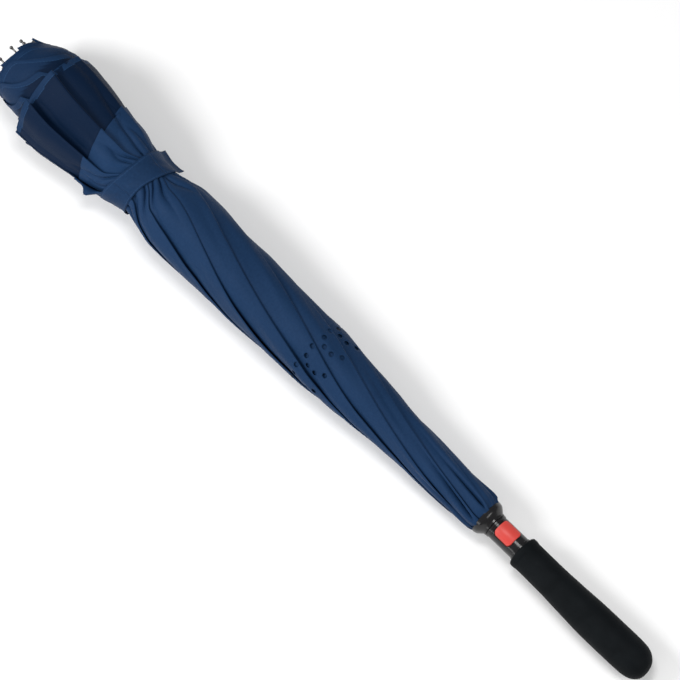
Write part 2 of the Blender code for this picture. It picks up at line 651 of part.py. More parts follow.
def tip_mesh():
    prong = RIB_WIDTH / 2 - RIB_WALL - SLOT_SIDE_GAP
    start = RIB_LENGTH - TIP_SHANK_LENGTH
    foot = math.asin(prong / TIP_BALL_RADIUS / 2)
    ball = [(TIP_BALL_RADIUS * math.sin(a), TIP_STATION + TIP_BALL_RADIUS * math.cos(a))
            for a in np.linspace(0, math.pi - foot, 6)]
    outline = ball + [(prong / 2, RIB_LENGTH + GAP), (prong, RIB_LENGTH), (prong, start), (0, start)]
    return bowed(baked(turned("rib_tip", outline, 8, closed=False)).data)


def fold_turn(share):
    rise = min(1, share / STRAP_STATION_SHARE)
    rest = max(0, (share - STRAP_STATION_SHARE) / (1 - STRAP_STATION_SHARE))
    return WRAP_AT_COLLAR + WRAP_TO_STRAP * rise + WRAP_TO_FOLD_END * rest


# The folded gore as a strip that shows from its own fold back to the next one, and runs on under it.
# Past the end of the fold its edge is the hem, which sweeps back and in to the rib's tip.
def gore_mesh(index):
    tip_radius = frame_radius(HINGE_STATION + RIB_LENGTH) + HEM_OVER_RIB
    hem_step = (bundle_radius(1) - tip_radius) * RIB_STEP / fold_turn(1)
    stations = [(share, 0) for share, _ in BUNDLE_OUTLINE_SHARES] + [(1, hem) for hem in HEM_SHARES]
    body = bmesh.new()
    rings = []
    for share, hem in stations:
        station = GORE_START + share * FOLD_LENGTH + hem * HEM_LENGTH
        outer = bundle_radius(share) * (1 - hem) + tip_radius * hem
        flare = min(1, max(0, (station - STRAP_STATION - STRAP_WIDTH) / (2 * STRAP_WIDTH)))
        step = FOLD_STEP + (FLARE_STEP - FOLD_STEP) * flare
        step += (hem_step - step) * min(1, 3 * hem)
        edge = fold_turn(share) - HEM_SWEEP * hem + index * RIB_STEP + FIRST_RIB_TURN
        window = min(1, (1 - hem) * fold_turn(share) / RIB_STEP)
        depth = ground_depth(station)
        top, under = [], []
        for across in ACROSS_SHARES:
            turn = edge - across * RIB_STEP * window
            radius = outer - step * across * window
            buried = across > ACROSS_SHARES[3]
            floor = -depth + (GORE_THICKNESS + GORE_LAYER_GAP if buried else 0)
            for ring, inset in ((top, 0), (under, GORE_THICKNESS)):
                x = (radius - inset) * math.cos(turn)
                y = (radius - inset) * math.sin(turn)
                ring.append(body.verts.new((max(x, floor + inset), y, station)))
        rings.append(top + under[::-1])
    for lower, upper in zip(rings, rings[1:]):
        count = len(lower)
        for i in range(count):
            j = (i + 1) % count
            body.faces.new((lower[i], lower[j], upper[j], upper[i]))
    body.faces.new(rings[0][::-1])
    body.faces.new(rings[-1])
    bmesh.ops.triangulate(body, faces=body.faces)
    bmesh.ops.recalc_face_normals(body, faces=body.faces)
    mesh = bpy.data.meshes.new(f"gore_{index + 1}")
    body.to_mesh(mesh)
    body.free()
    return mesh


# The hinge that carries what lies between rib i and its neighbour: at full travel it has turned the
# neighbour's way, so its axis lies in the plane halfway between the two.
def halfway_hinge(index, swing, radius, station):
    own = Matrix.Rotation(swing, 3, "Y")
    step = Matrix.Rotation(RIB_STEP, 3, "Z")
    between = own.inverted() @ step @ own @ step.inverted()
    axis, angle = between.to_quaternion().to_axis_angle()
    reach = radius / math.cos(RIB_STEP / 2)
    turn = Matrix.Rotation(index * RIB_STEP + FIRST_RIB_TURN, 4, "Z")
    point = turn @ Vector((reach * math.cos(RIB_STEP / 2), reach * math.sin(RIB_STEP / 2), station))
    frame = (turn.to_3x3() @ axis).to_track_quat("Z", "Y").to_matrix().to_4x4()
    return Matrix.Translation(point) @ frame, angle


def build_ribs():
    rib, stretcher, tip = rib_mesh(), stretcher_mesh(), tip_mesh()
    for i in range(RIB_COUNT):
        hinge = empty(f"rib_hinge_{i + 1}", runner_frame,
                      Matrix.Rotation(i * RIB_STEP + FIRST_RIB_TURN, 4, "Z")
                      @ Matrix.Translation((RIB_CIRCLE_RADIUS, 0, 0))
                      @ Matrix.Rotation(RIB_SPLAY, 4, "Y"))
        link(bpy.data.objects.new(f"rib_{i + 1}", rib.copy()), parts, hinge, DARK_STEEL)
        link(bpy.data.objects.new(f"rib_tip_{i + 1}", tip.copy()), parts, hinge, ZINC)
        joint = empty(f"stretcher_hinge_{i + 1}", hinge,
                      Matrix.Translation((0, 0, STRETCHER_JOINT))
                      @ Matrix.Rotation(STRETCHER_LEAN - RIB_SPLAY, 4, "Y"))
        link(bpy.data.objects.new(f"stretcher_{i + 1}", stretcher.copy()), parts, joint, DARK_STEEL)


def build_gores():
    for i in range(RIB_COUNT):
        frame, angle = halfway_hinge(i, RIB_SWING, RIB_CIRCLE_RADIUS, HINGE_STATION)
        hinge = empty(f"gore_hinge_{i + 1}", lay, frame)
        hinge["swing"] = angle
        gore = bpy.data.objects.new(f"gore_{i + 1}", gore_mesh(i))
        gore.data.transform(frame.inverted())
        link(gore, parts, hinge, NAVY)
        crown_swing = RIB_SWING + STRETCHER_SWING
        frame, angle = halfway_hinge(i, crown_swing, NOTCH_CIRCLE_RADIUS, NOTCH_STATION)
        hinge = empty(f"crown_hinge_{i + 1}", lay, frame)
        hinge["swing"] = angle
        crown = bpy.data.objects.new(f"crown_gore_{i + 1}", crown_mesh(i))
        crown.data.transform(frame.inverted())
        link(crown, parts, hinge, NAVY)


# The outer layer's centre, folded flat between two stretchers: a thin strip that leans in with them
def crown_mesh(index):
    middle = index * RIB_STEP + FIRST_RIB_TURN + RIB_STEP / 2
    run = JOINT_POINT - NOTCH_POINT
    sewn = NOTCH_THICKNESS / 2 + 2 * GAP
    outline = []
    for along, side in ((sewn, -1), (CROWN_END, -1), (CROWN_END, 1), (sewn, 1)):
        point = NOTCH_POINT + run * (along / STRETCHER_LENGTH)
        outline.append((point.x + side * CROWN_HEIGHT / 2, point.y))
    strip = plate("crown_strip", [outline], CROWN_THICKNESS)
    strip.data.transform(Matrix.Rotation(middle, 4, "Z")
                         @ Matrix(((1, 0, 0, 0), (0, 0, -1, 0), (0, 1, 0, 0), (0, 0, 0, 1))))
    return strip.data


def strap_radius(share):
    return bundle_radius(STRAP_STATION_SHARE) + STRAP_LAY_GAP + STRAP_CLIMB * share


# The strap is wound round the bundle in pieces that hinge end to end; the last one ends in a loose tail
def build_strap():
    span = STRAP_TURN / STRAP_PIECES
    for k in range(STRAP_PIECES):
        start = STRAP_START + k * span
        seam = GAP / strap_radius(0) / 2
        turns = np.linspace(start + seam, start + span - seam, 9)
        shares = [(turn - STRAP_START) / STRAP_TURN for turn in turns]
        inner = [(strap_radius(s) * math.cos(t), strap_radius(s) * math.sin(t))
                 for t, s in zip(turns, shares)]
        outer = [((strap_radius(s) + STRAP_THICKNESS) * math.cos(t),
                  (strap_radius(s) + STRAP_THICKNESS) * math.sin(t)) for t, s in zip(turns, shares)]
        if k == STRAP_PIECES - 1:
            way = Vector((-math.sin(turns[-1]), math.cos(turns[-1]))) * STRAP_TAIL
            inner.append((inner[-1][0] + way.x, inner[-1][1] + way.y))
            outer.append((outer[-1][0] + way.x, outer[-1][1] + way.y))
        strap = plate(f"strap_{k + 1}", [inner + outer[::-1]], STRAP_WIDTH)
        for vertex in strap.data.vertices:
            turn = math.atan2(vertex.co.y, vertex.co.x)
            vertex.co.z += STRAP_STATION - STRAP_SLANT * math.sin(turn)
        frame = Matrix.Translation((strap_radius(k / STRAP_PIECES) * math.cos(start),
                                    strap_radius(k / STRAP_PIECES) * math.sin(start), STRAP_STATION))
        joint = empty(f"strap_hinge_{k + 1}", lay, frame)
        strap.data.transform(frame.inverted())
        link(strap, parts, joint, NAVY)


# The umbrella is set down so that its grip and its rib tips end as far from the origin as each other
def centre_on_origin():
    bpy.context.view_layer.update()
    ends = [obj for obj in parts.objects if obj.name == "grip" or obj.name.startswith("rib_tip")]
    along = [(obj.matrix_world @ vertex.co).x for obj in ends for vertex in obj.data.vertices]
    lay.location.x -= (min(along) + max(along)) / 2


lay.location = (0, 0, REST_HEIGHT)
button_frame = empty("button_frame", lay, Matrix.Rotation(BUTTON_TURN, 4, "Z"))
runner_frame = empty("runner_frame", lay, Matrix.Translation((0, 0, HINGE_STATION)))
rib_turns = [empty(f"rib_turn_{i + 1}", runner_frame,
                   Matrix.Rotation(i * RIB_STEP + FIRST_RIB_TURN, 4, "Z")) for i in range(RIB_COUNT)]

build_grip()
build_shaft()
build_housing()
build_button()
build_runner()
build_crown()
build_ribs()
build_gores()
build_strap()
centre_on_origin()
print("runner travel", round(TRAVEL, 5), "rib swing", round(math.degrees(RIB_SWING), 3),
      "stretcher swing", round(math.degrees(STRETCHER_SWING), 3), "tilt", round(math.degrees(TILT), 3))
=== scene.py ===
# Inverted umbrella, rolled up and tied, lying on a pale floor.
# Everything is placed with umbrellaFrame: its Z runs along the shaft from the grip's end to the rib tips,
# its X points to the side that lies on top, and an angle is counted from the top over to world +Y.

import bpy
import bmesh
import json
import math
import numpy as np
from mathutils import Matrix, Vector


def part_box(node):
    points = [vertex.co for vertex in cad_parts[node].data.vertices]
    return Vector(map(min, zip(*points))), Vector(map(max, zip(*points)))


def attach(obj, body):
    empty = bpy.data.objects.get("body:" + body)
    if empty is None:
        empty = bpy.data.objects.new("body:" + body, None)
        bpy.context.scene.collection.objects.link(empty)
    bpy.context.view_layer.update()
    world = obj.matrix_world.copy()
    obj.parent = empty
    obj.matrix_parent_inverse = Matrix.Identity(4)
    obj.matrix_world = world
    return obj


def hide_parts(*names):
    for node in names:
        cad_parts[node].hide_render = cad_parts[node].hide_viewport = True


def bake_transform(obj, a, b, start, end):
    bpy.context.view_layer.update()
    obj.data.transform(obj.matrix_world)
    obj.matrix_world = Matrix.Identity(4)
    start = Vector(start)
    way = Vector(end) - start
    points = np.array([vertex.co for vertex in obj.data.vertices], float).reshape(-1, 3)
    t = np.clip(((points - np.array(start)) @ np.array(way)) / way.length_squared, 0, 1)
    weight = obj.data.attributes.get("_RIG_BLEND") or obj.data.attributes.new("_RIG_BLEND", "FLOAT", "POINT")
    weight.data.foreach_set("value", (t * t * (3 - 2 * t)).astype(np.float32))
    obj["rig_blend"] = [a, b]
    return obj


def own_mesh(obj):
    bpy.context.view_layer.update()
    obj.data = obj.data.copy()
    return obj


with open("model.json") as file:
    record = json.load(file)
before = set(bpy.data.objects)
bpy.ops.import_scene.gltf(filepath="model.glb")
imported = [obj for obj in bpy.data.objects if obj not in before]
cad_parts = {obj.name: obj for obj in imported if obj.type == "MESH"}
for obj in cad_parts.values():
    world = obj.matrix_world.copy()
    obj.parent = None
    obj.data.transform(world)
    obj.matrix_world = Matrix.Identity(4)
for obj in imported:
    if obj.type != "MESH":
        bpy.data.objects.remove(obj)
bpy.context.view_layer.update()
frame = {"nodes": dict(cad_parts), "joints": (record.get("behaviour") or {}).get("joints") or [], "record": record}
print("packed frame loaded:", len(frame["nodes"]), "nodes")

# where the umbrella lies
joints = {joint["name"]: joint for joint in frame["joints"]}
ratios = {row["joint"]: row["ratio"] for row in frame["record"]["behaviour"]["couplings"]}
travel = joints["runner_slide"]["range_m"][1]
shaftWay = Vector(joints["runner_slide"]["axis"]).normalized()
sideWay = Vector((0, 1, 0))
topWay = sideWay.cross(shaftWay)
ribCount = 8
ribRoot = 0.2169  # station of the ribs' hinges
ribPivots = [Vector(joints[f"rib_pivot_{i + 1}"]["pos_m"]) for i in range(ribCount)]
hingeCentre = sum(ribPivots, Vector()) / ribCount
umbrellaFrame = Matrix((topWay, sideWay, shaftWay)).transposed().to_4x4()
umbrellaFrame.translation = hingeCentre - shaftWay * ribRoot
frameBack = umbrellaFrame.inverted()


def toWorld(points):
    turn = np.array(umbrellaFrame.to_3x3())
    return points @ turn.T + np.array(umbrellaFrame.translation)


def groundDepth(station):  # how far the floor lies under the shaft's axis
    height = umbrellaFrame.translation.z + shaftWay.z * station
    return height / topWay.z


# shader groups: each takes a place and some values, and puts out values
def nodeGroup(name, values, outputs):
    group = bpy.data.node_groups.new(name, "ShaderNodeTree")
    group.interface.new_socket(name="Vector", in_out="INPUT", socket_type="NodeSocketVector")
    for label, value in values.items():
        socket = group.interface.new_socket(name=label, in_out="INPUT", socket_type="NodeSocketFloat")
        socket.default_value = value
    for label in outputs:
        group.interface.new_socket(name=label, in_out="OUTPUT", socket_type="NodeSocketFloat")
    start = group.nodes.new("NodeGroupInput")
    end = group.nodes.new("NodeGroupOutput")
    start.location, end.location = (-900, 0), (700, 0)
    return group, start.outputs, end.inputs


def addNode(tree, kind, inputs=(), **settings):
    node = tree.nodes.new(kind)
    for key, value in settings.items():
        setattr(node, key, value)
    for key, value in dict(inputs).items():
        if hasattr(value, "is_output"):
            tree.links.new(value, node.inputs[key])
        else:
            node.inputs[key].default_value = value
    return node


def maths(tree, operation, a, b=0.0):
    return addNode(tree, "ShaderNodeMath", {0: a, 1: b}, operation=operation).outputs[0]


def noise(tree, place, scale, detail, roughness=0.5):
    return addNode(tree, "ShaderNodeTexNoise", {"Vector": place, "Scale": scale, "Detail": detail,
                                                "Roughness": roughness}).outputs["Fac"]


def remap(tree, value, low, high, toLow=0.0, toHigh=1.0):
    node = addNode(tree, "ShaderNodeMapRange", {"Value": value, "From Min": low, "From Max": high,
                                                "To Min": toLow, "To Max": toHigh})
    return node.outputs["Result"]


def makeWeave():  # plain weave: threads over and under each other, with uneven yarn
    group, given, made = nodeGroup("plainWeave", {"Thread": 0.00032}, ("Height", "Yarn"))
    split = addNode(group, "ShaderNodeSeparateXYZ", {0: given["Vector"]})
    counts = [maths(group, "DIVIDE", split.outputs[axis], given["Thread"]) for axis in (0, 1)]
    waves = [maths(group, "ABSOLUTE", maths(group, "SINE", maths(group, "MULTIPLY", count, math.pi)))
             for count in counts]
    cells = [maths(group, "FLOOR", count) for count in counts]
    over = maths(group, "MODULO", maths(group, "ABSOLUTE", maths(group, "ADD", *cells)), 2.0)
    warp = maths(group, "MULTIPLY", waves[0], over)
    weft = maths(group, "MULTIPLY", waves[1], maths(group, "SUBTRACT", 1.0, over))
    group.links.new(maths(group, "ADD", warp, weft), made["Height"])
    group.links.new(noise(group, given["Vector"], 420.0, 3.0, 0.6), made["Yarn"])
    return group


def makeMottle():  # slow changes of tone, and fine dust over them
    group, given, made = nodeGroup("mottle", {"Patch": 9.0, "Speck": 900.0}, ("Tone", "Dust"))
    slow = noise(group, given["Vector"], given["Patch"], 4.0, 0.55)
    fine = noise(group, given["Vector"], given["Speck"], 2.0, 0.7)
    group.links.new(remap(group, slow, 0.3, 0.7), made["Tone"])
    group.links.new(remap(group, fine, 0.62, 0.8), made["Dust"])
    return group


def makeGrain():  # moulded plastic: fine pimples over a soft unevenness
    group, given, made = nodeGroup("mouldedGrain", {"Grain": 2600.0}, ("Height", "Rub"))
    pimples = addNode(group, "ShaderNodeTexVoronoi", {"Vector": given["Vector"], "Scale": given["Grain"]})
    uneven = noise(group, given["Vector"], 60.0, 5.0, 0.6)
    height = maths(group, "ADD", pimples.outputs["Distance"], maths(group, "MULTIPLY", uneven, 0.6))
    group.links.new(height, made["Height"])
    group.links.new(remap(group, uneven, 0.35, 0.75), made["Rub"])
    return group


weaveGroup, mottleGroup, grainGroup = makeWeave(), makeMottle(), makeGrain()


def groupNode(tree, group, inputs):
    return addNode(tree, "ShaderNodeGroup", inputs, node_tree=group)


def newMaterial(name, sockets):
    made = bpy.data.materials.new(name)
    made.use_nodes = True
    tree = made.node_tree
    shader = tree.nodes["Principled BSDF"]
    for key, value in sockets.items():
        shader.inputs[key].default_value = value
    return made, tree, shader


def mixColour(tree, factor, first, second):
    inputs = {0: factor}
    for index, colour in ((6, first), (7, second)):
        inputs[index] = colour if hasattr(colour, "is_output") else (*colour, 1)
    return addNode(tree, "ShaderNodeMix", inputs, data_type="RGBA").outputs[2]


# Links colour, roughness and bump. wear runs over its low and high, and changes the roughness that much
def finishShader(tree, shader, look, colour, height, wear, change):
    tree.links.new(colour, shader.inputs["Base Color"])
    low, high = look["rough"] + change[0], look["rough"] + change[1]
    tree.links.new(remap(tree, *wear, low, high), shader.inputs["Roughness"])
    bump = addNode(tree, "ShaderNodeBump", {"Height": height, "Strength": look["bump"],
                                            "Distance": look["bumpDepth"]})
    tree.links.new(bump.outputs["Normal"], shader.inputs["Normal"])


def clothMaterial(name, look):
    made, tree, shader = newMaterial(name, {"Sheen Weight": look["sheen"], "Sheen Roughness": 0.45,
                                            "Sheen Tint": (*look["sheenTint"], 1),
                                            "Specular IOR Level": look["specular"]})
    uv = addNode(tree, "ShaderNodeUVMap", uv_map="clothMap").outputs["UV"]
    place = addNode(tree, "ShaderNodeTexCoord").outputs["Object"]
    weave = groupNode(tree, weaveGroup, {"Vector": uv, "Thread": look["thread"]})
    mottle = groupNode(tree, mottleGroup, {"Vector": place, "Patch": look["patch"]})
    tone = mixColour(tree, mottle.outputs["Tone"], look["deep"], look["light"])
    yarnShade = remap(tree, weave.outputs["Yarn"], 0.3, 0.7, 0.0, look["yarn"])
    tone = mixColour(tree, yarnShade, tone, look["yarnColour"])
    hemGap = addNode(tree, "ShaderNodeAttribute", attribute_name="hemGap").outputs["Fac"]
    # the lining attribute: 1 for the lining's lighter cloth, 0 for the darker canopy beyond it, and on the cap a
    # painted shade: 0 beside the outer hem and capShade further on
    lining = addNode(tree, "ShaderNodeAttribute", attribute_name="lining").outputs["Fac"]
    # painted highlight: the hem strip is lit hemLit of the way towards the lighter cloth colour where the darker
    # canopy shows
    hem = remap(tree, hemGap, look["stitchAt"] + look["hemSoft"], look["stitchAt"])
    liningAndPaintedLight = maths(tree, "MAXIMUM", lining, maths(tree, "MULTIPLY", hem, look["hemLit"]))
    tone = mixColour(tree, liningAndPaintedLight, look["under"], tone)
    line = maths(tree, "ABSOLUTE", maths(tree, "SUBTRACT", hemGap, look["stitchAt"]))
    run = addNode(tree, "ShaderNodeSeparateXYZ", {0: uv}).outputs[0]
    dash = maths(tree, "FRACT", maths(tree, "DIVIDE", run, look["stitch"]))
    onLine = remap(tree, line, *look["lineEdge"])
    stitch = maths(tree, "MULTIPLY", onLine, remap(tree, dash, *look["dashEdge"], 1.0, 0.0))
    tone = mixColour(tree, stitch, tone, look["threadColour"])
    dusty = maths(tree, "MULTIPLY", mottle.outputs["Dust"], look["dust"])
    seamDip = maths(tree, "MULTIPLY", remap(tree, line, look["dipWidth"], 0.0), look["dip"])
    height = maths(tree, "ADD", maths(tree, "ADD", weave.outputs["Height"], seamDip),
                   maths(tree, "MULTIPLY", stitch, look["stitchRise"]))
    finishShader(tree, shader, look, mixColour(tree, dusty, tone, look["dustColour"]), height,
                 (mottle.outputs["Tone"], 0.0, 1.0), (0.06, -0.05))
    return made


def plasticMaterial(name, look):
    made, tree, shader = newMaterial(name, {"Specular IOR Level": look["specular"]})
    place = addNode(tree, "ShaderNodeTexCoord").outputs["Object"]
    grain = groupNode(tree, grainGroup, {"Vector": place, "Grain": look["grain"]})
    mottle = groupNode(tree, mottleGroup, {"Vector": place, "Patch": 30.0, "Speck": 1500.0})
    tone = mixColour(tree, grain.outputs["Rub"], look["deep"], look["light"])
    dusty = maths(tree, "MULTIPLY", mottle.outputs["Dust"], look["dust"])
    finishShader(tree, shader, look, mixColour(tree, dusty, tone, look["dustColour"]),
                 grain.outputs["Height"], (grain.outputs["Rub"], 0.0, 1.0), (0.05, -0.05))
    return made


def metalMaterial(name, look):
    made, tree, shader = newMaterial(name, {"Metallic": look["metal"]})
    place = addNode(tree, "ShaderNodeTexCoord").outputs["Object"]
    drawn = addNode(tree, "ShaderNodeMapping", {"Vector": place, "Scale": look["draw"]})
    lines = noise(tree, drawn.outputs[0], 300.0, 4.0)
    mottle = groupNode(tree, mottleGroup, {"Vector": place, "Patch": 45.0})
    tone = mixColour(tree, mottle.outputs["Tone"], look["deep"], look["light"])
    finishShader(tree, shader, look, tone, lines, (lines, 0.3, 0.7), (-0.06, 0.08))
    return made


navyLook = {
    "deep": (0.0070, 0.0240, 0.0650), "light": (0.0098, 0.0308, 0.0810), "patch": 11.0,
    # under: the darker canopy's colour beyond the lining, also mixed into the cap as painted shade
    "under": (0.0026, 0.0106, 0.0315), "yarnColour": (0.014, 0.042, 0.104), "yarn": 0.35, "thread": 0.00034,
    "dustColour": (0.35, 0.37, 0.40), "dust": 0.02, "rough": 0.50, "specular": 0.05, "sheen": 0.01,
    "sheenTint": (0.45, 0.6, 0.9), "bump": 0.35, "bumpDepth": 0.00008,
    # the hem's stitches: their distance from the edge, length, edges, and how far the seam dips
    "stitchAt": 0.0048, "stitch": 0.0026, "lineEdge": (0.00030, 0.00015), "dashEdge": (0.72, 0.78),
    "threadColour": (0.016, 0.048, 0.115), "stitchRise": 1.6, "dip": -2.2, "dipWidth": 0.0012,
    # painted highlight: hemLit is how far the hem strip, within stitchAt of the edge and softened over hemSoft, is
    # lit towards the lighter cloth colour
    "hemLit": 0.8, "hemSoft": 0.0004,
}
canopyNavy = clothMaterial("canopyNavy", navyLook)
strapNavy = clothMaterial("strapNavy", {
    **navyLook, "stitchAt": 0.0020, "patch": 40.0, "deep": (0.0062, 0.0215, 0.0590),
    "light": (0.0088, 0.0268, 0.0700)})
plasticLook = {"specular": 0.5, "bumpDepth": 0.00005}
metalLook = {"bump": 0.12, "bumpDepth": 0.00003, "draw": (1, 1, 1)}
softTouchBlack = plasticMaterial("softTouchBlack", {
    **plasticLook, "deep": (0.0034, 0.0046, 0.0056), "light": (0.0050, 0.0066, 0.0080), "rough": 0.62,
    "grain": 2600.0, "bump": 0.35, "dust": 0.07, "dustColour": (0.025, 0.029, 0.033), "specular": 0.06})
glossBlack = plasticMaterial("glossBlack", {
    **plasticLook, "deep": (0.006, 0.006, 0.007), "light": (0.009, 0.009, 0.010), "rough": 0.20,
    "grain": 900.0, "bump": 0.05, "dust": 0.05, "dustColour": (0.05, 0.05, 0.05), "specular": 0.36})
glossRed = plasticMaterial("glossRed", {
    **plasticLook, "deep": (0.54, 0.050, 0.040), "light": (0.61, 0.060, 0.049), "rough": 0.36,
    "grain": 900.0, "bump": 0.05, "dust": 0.04, "dustColour": (0.90, 0.40, 0.34), "specular": 0.30})
mattBlack = plasticMaterial("mattBlack", {
    **plasticLook, "deep": (0.010, 0.010, 0.011), "light": (0.016, 0.016, 0.017), "rough": 0.45,
    "grain": 1500.0, "bump": 0.2, "dust": 0.08, "dustColour": (0.06, 0.06, 0.06)})
paintedBlack = metalMaterial("paintedBlack", {
    **metalLook, "metal": 0.55, "deep": (0.020, 0.020, 0.022), "light": (0.030, 0.030, 0.032),
    "rough": 0.34, "draw": (0.02, 1, 1)})
springSteel = metalMaterial("springSteel", {
    **metalLook, "metal": 1.0, "deep": (0.42, 0.42, 0.43), "light": (0.55, 0.55, 0.56), "rough": 0.26})
nickel = metalMaterial("nickel", {
    **metalLook, "metal": 1.0, "deep": (0.10, 0.10, 0.10), "light": (0.16, 0.16, 0.16), "rough": 0.36})

nodeFinish = {
    "shaft_tube": paintedBlack, "shaft_plug": mattBlack, "catch_plate": springSteel,
    "top_notch": mattBlack, "top_cap": mattBlack, "runner_hub": mattBlack, "rib_wire": springSteel,
    "drive_pin": springSteel, "spring_plunger": mattBlack,
}
for i in range(1, ribCount + 1):
    nodeFinish[f"rib_{i}"] = paintedBlack
    nodeFinish[f"stretcher_{i}"] = paintedBlack
for node, finish in nodeFinish.items():
    mesh = frame["nodes"][node].data
    mesh.materials.clear()
    mesh.materials.append(finish)
print("materials made, carried nodes finished:", len(nodeFinish))


# modelling
def deselect():
    if bpy.context.object and bpy.context.object.mode != "OBJECT":
        bpy.ops.object.mode_set(mode="OBJECT")
    bpy.ops.object.select_all(action="DESELECT")


def pick(obj):
    deselect()
    obj.select_set(True)
    bpy.context.view_layer.objects.active = obj


def openEdit():
    bpy.ops.object.mode_set(mode="EDIT")
    bpy.ops.mesh.select_all(action="SELECT")


def closeEdit():  # with every face turned outward
    bpy.ops.mesh.select_all(action="SELECT")
    bpy.ops.mesh.normals_make_consistent(inside=False)
    bpy.ops.object.mode_set(mode="OBJECT")


def placed(name, data):  # a new object in the scene
    obj = bpy.data.objects.new(name, data)
    bpy.context.scene.collection.objects.link(obj)
    return obj


# Pulls a ring up through an outline of (radius, station); a last radius of 0 closes it in a pole
def pullRings(name, outline, sides, join=False):
    deselect()
    radius, station = outline[0]
    bpy.ops.mesh.primitive_circle_add(vertices=sides, radius=radius, location=(0, 0, station))
    obj = bpy.context.object
    obj.name = obj.data.name = name
    openEdit()
    for (r0, s0), (r1, s1) in zip(outline, outline[1:]):
        bpy.ops.mesh.extrude_edges_move(TRANSFORM_OT_translate={"value": (0, 0, s1 - s0)})
        if r1 == 0:
            bpy.ops.mesh.merge(type="CENTER")
        else:
            bpy.ops.transform.resize(value=(r1 / r0, r1 / r0, 1), center_override=(0, 0, s1))
    if join:
        bpy.ops.mesh.select_all(action="SELECT")
        bpy.ops.mesh.remove_doubles(threshold=1e-6)
    closeEdit()
    return obj


def applied(obj, kind, **settings):
    pick(obj)
    modifier = obj.modifiers.new(kind.lower(), kind)
    for key, value in settings.items():
        setattr(modifier, key, value)
    bpy.ops.object.modifier_apply(modifier=modifier.name)
    return obj


def closeEnds(obj):
    pick(obj)
    openEdit()
    bpy.ops.mesh.fill_holes(sides=0)
    closeEdit()


# Puts a piece that was made upright where the umbrella lies
def layDown(obj, finish, turn=None):
    pick(obj)
    bpy.ops.object.transform_apply(location=True, rotation=True, scale=True)
    obj.data.transform(umbrellaFrame @ (turn or Matrix.Identity(4)))
    obj.data.materials.clear()
    obj.data.materials.append(finish)
    bpy.ops.object.shade_smooth_by_angle(angle=math.radians(38))
    return obj


def takeOver(node):  # the piece stands in place of a CAD node
    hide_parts(node)


def standIn(obj, body, node):
    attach(obj, body)
    takeOver(node)


def softened(points, steps):  # a smooth outline through the given points
    fine = []
    for k in range(len(points) - 1):
        before, here = points[max(0, k - 1)], points[k]
        after, beyond = points[k + 1], points[min(len(points) - 1, k + 2)]
        for j in range(steps):
            t = j / steps
            fine.append(tuple(0.5 * (2 * b + (c - a) * t + (2 * a - 5 * b + 4 * c - d) * t * t
                                     + (3 * b - a - 3 * c + d) * t ** 3)
                              for a, b, c, d in zip(before, here, after, beyond)))
    return fine + [tuple(points[-1])]


# grip
grip = {
    "length": 0.1600, "radius": 0.01785, "sides": 112, "waistShift": 0.0006, "mouth": 0.0060,
    "mouthDepth": 0.0060, "rimWall": 0.0010, "rimDrop": 0.0005, "mouthDrop": 0.0006, "nose": 0.0001,
    # share of the widest radius, share of the length from the grip's end
    "outline": ((0.26, 0.003), (0.47, 0.011), (0.65, 0.026), (0.80, 0.047), (0.90, 0.071), (0.96, 0.100),
                (0.99, 0.140), (1.0, 0.20), (1.0, 0.38), (0.985, 0.47), (0.942, 0.565), (0.905, 0.66),
                (0.876, 0.745), (0.863, 0.86), (0.861, 0.945), (0.872, 0.957), (0.887, 0.966),
                (0.890, 0.980), (0.872, 0.994), (0.81, 1.0)),
    "endSlant": 0.10, "endLength": 0.030,
}


def makeGrip():
    length, mouth = grip["length"], grip["mouth"]
    outline = softened([(r * grip["radius"], s * length) for r, s in grip["outline"]], 4)
    outline = [(outline[0][0] * 0.5, grip["nose"])] + outline
    outline += [(outline[-1][0] - grip["rimWall"], length - grip["rimDrop"]),
                (mouth, length - grip["mouthDrop"]), (mouth, length - grip["mouthDepth"])]
    obj = pullRings("softGrip", outline, grip["sides"])
    closeEnds(obj)
    for vertex in obj.data.vertices:  # the waist is drawn in on one side
        share = min(1, max(0, vertex.co.z / length))
        vertex.co.y -= grip["waistShift"] * math.sin(math.pi * share) ** 2
        rest = max(0, 1 - vertex.co.z / grip["endLength"])
        vertex.co.z += grip["endSlant"] * rest * (vertex.co.y + grip["radius"] * 0.5)
    layDown(obj, softTouchBlack)
    standIn(obj, "shaft", "grip")


makeGrip()
print("grip made")

# button housing, button and collar
housing = {
    "start": 0.1603, "length": 0.0332, "radius": 0.0115, "bore": 0.0071, "ringHeight": 0.0006,
    "ringWidth": 0.0022, "sides": 96, "wall": 0.0012, "soft": 0.00022, "foot": 0.0058, "base": 0.0028,
    # a groove behind the front ring: depth, and where it starts, its floor starts and ends, and it ends
    "groove": 0.0003, "grooveAt": (0.0016, 0.0019, 0.0023, 0.0026),
}
button = {
    "length": 0.0193, "width": 0.0172, "corner": 0.0034, "top": 0.0132, "under": 0.0086,
    "sideRise": 0.0054, "turn": math.radians(2), "station": 0.1785, "gap": 0.0003, "outside": 0.02,
    "windowDeeper": 0.0008, "edge": 0.0007,
}
collar = {
    "start": 0.1938, "length": 0.0115, "foot": 0.0124, "rim": 0.0175, "wall": 0.0013, "bore": 0.0088,
    "sides": 112, "soft": 0.0003, "lip": 0.0017, "lipEdge": 0.0004, "lipStep": 0.00025, "base": 0.0020,
    "coneStart": 0.0045, "mouthDepth": 0.0030,
    # share of the way from foot to rim, share of the length
    "bell": ((0.0, 0.17), (0.09, 0.22), (0.28, 0.31), (0.50, 0.42), (0.70, 0.52), (0.84, 0.61),
             (0.92, 0.69), (0.955, 0.76)),
}


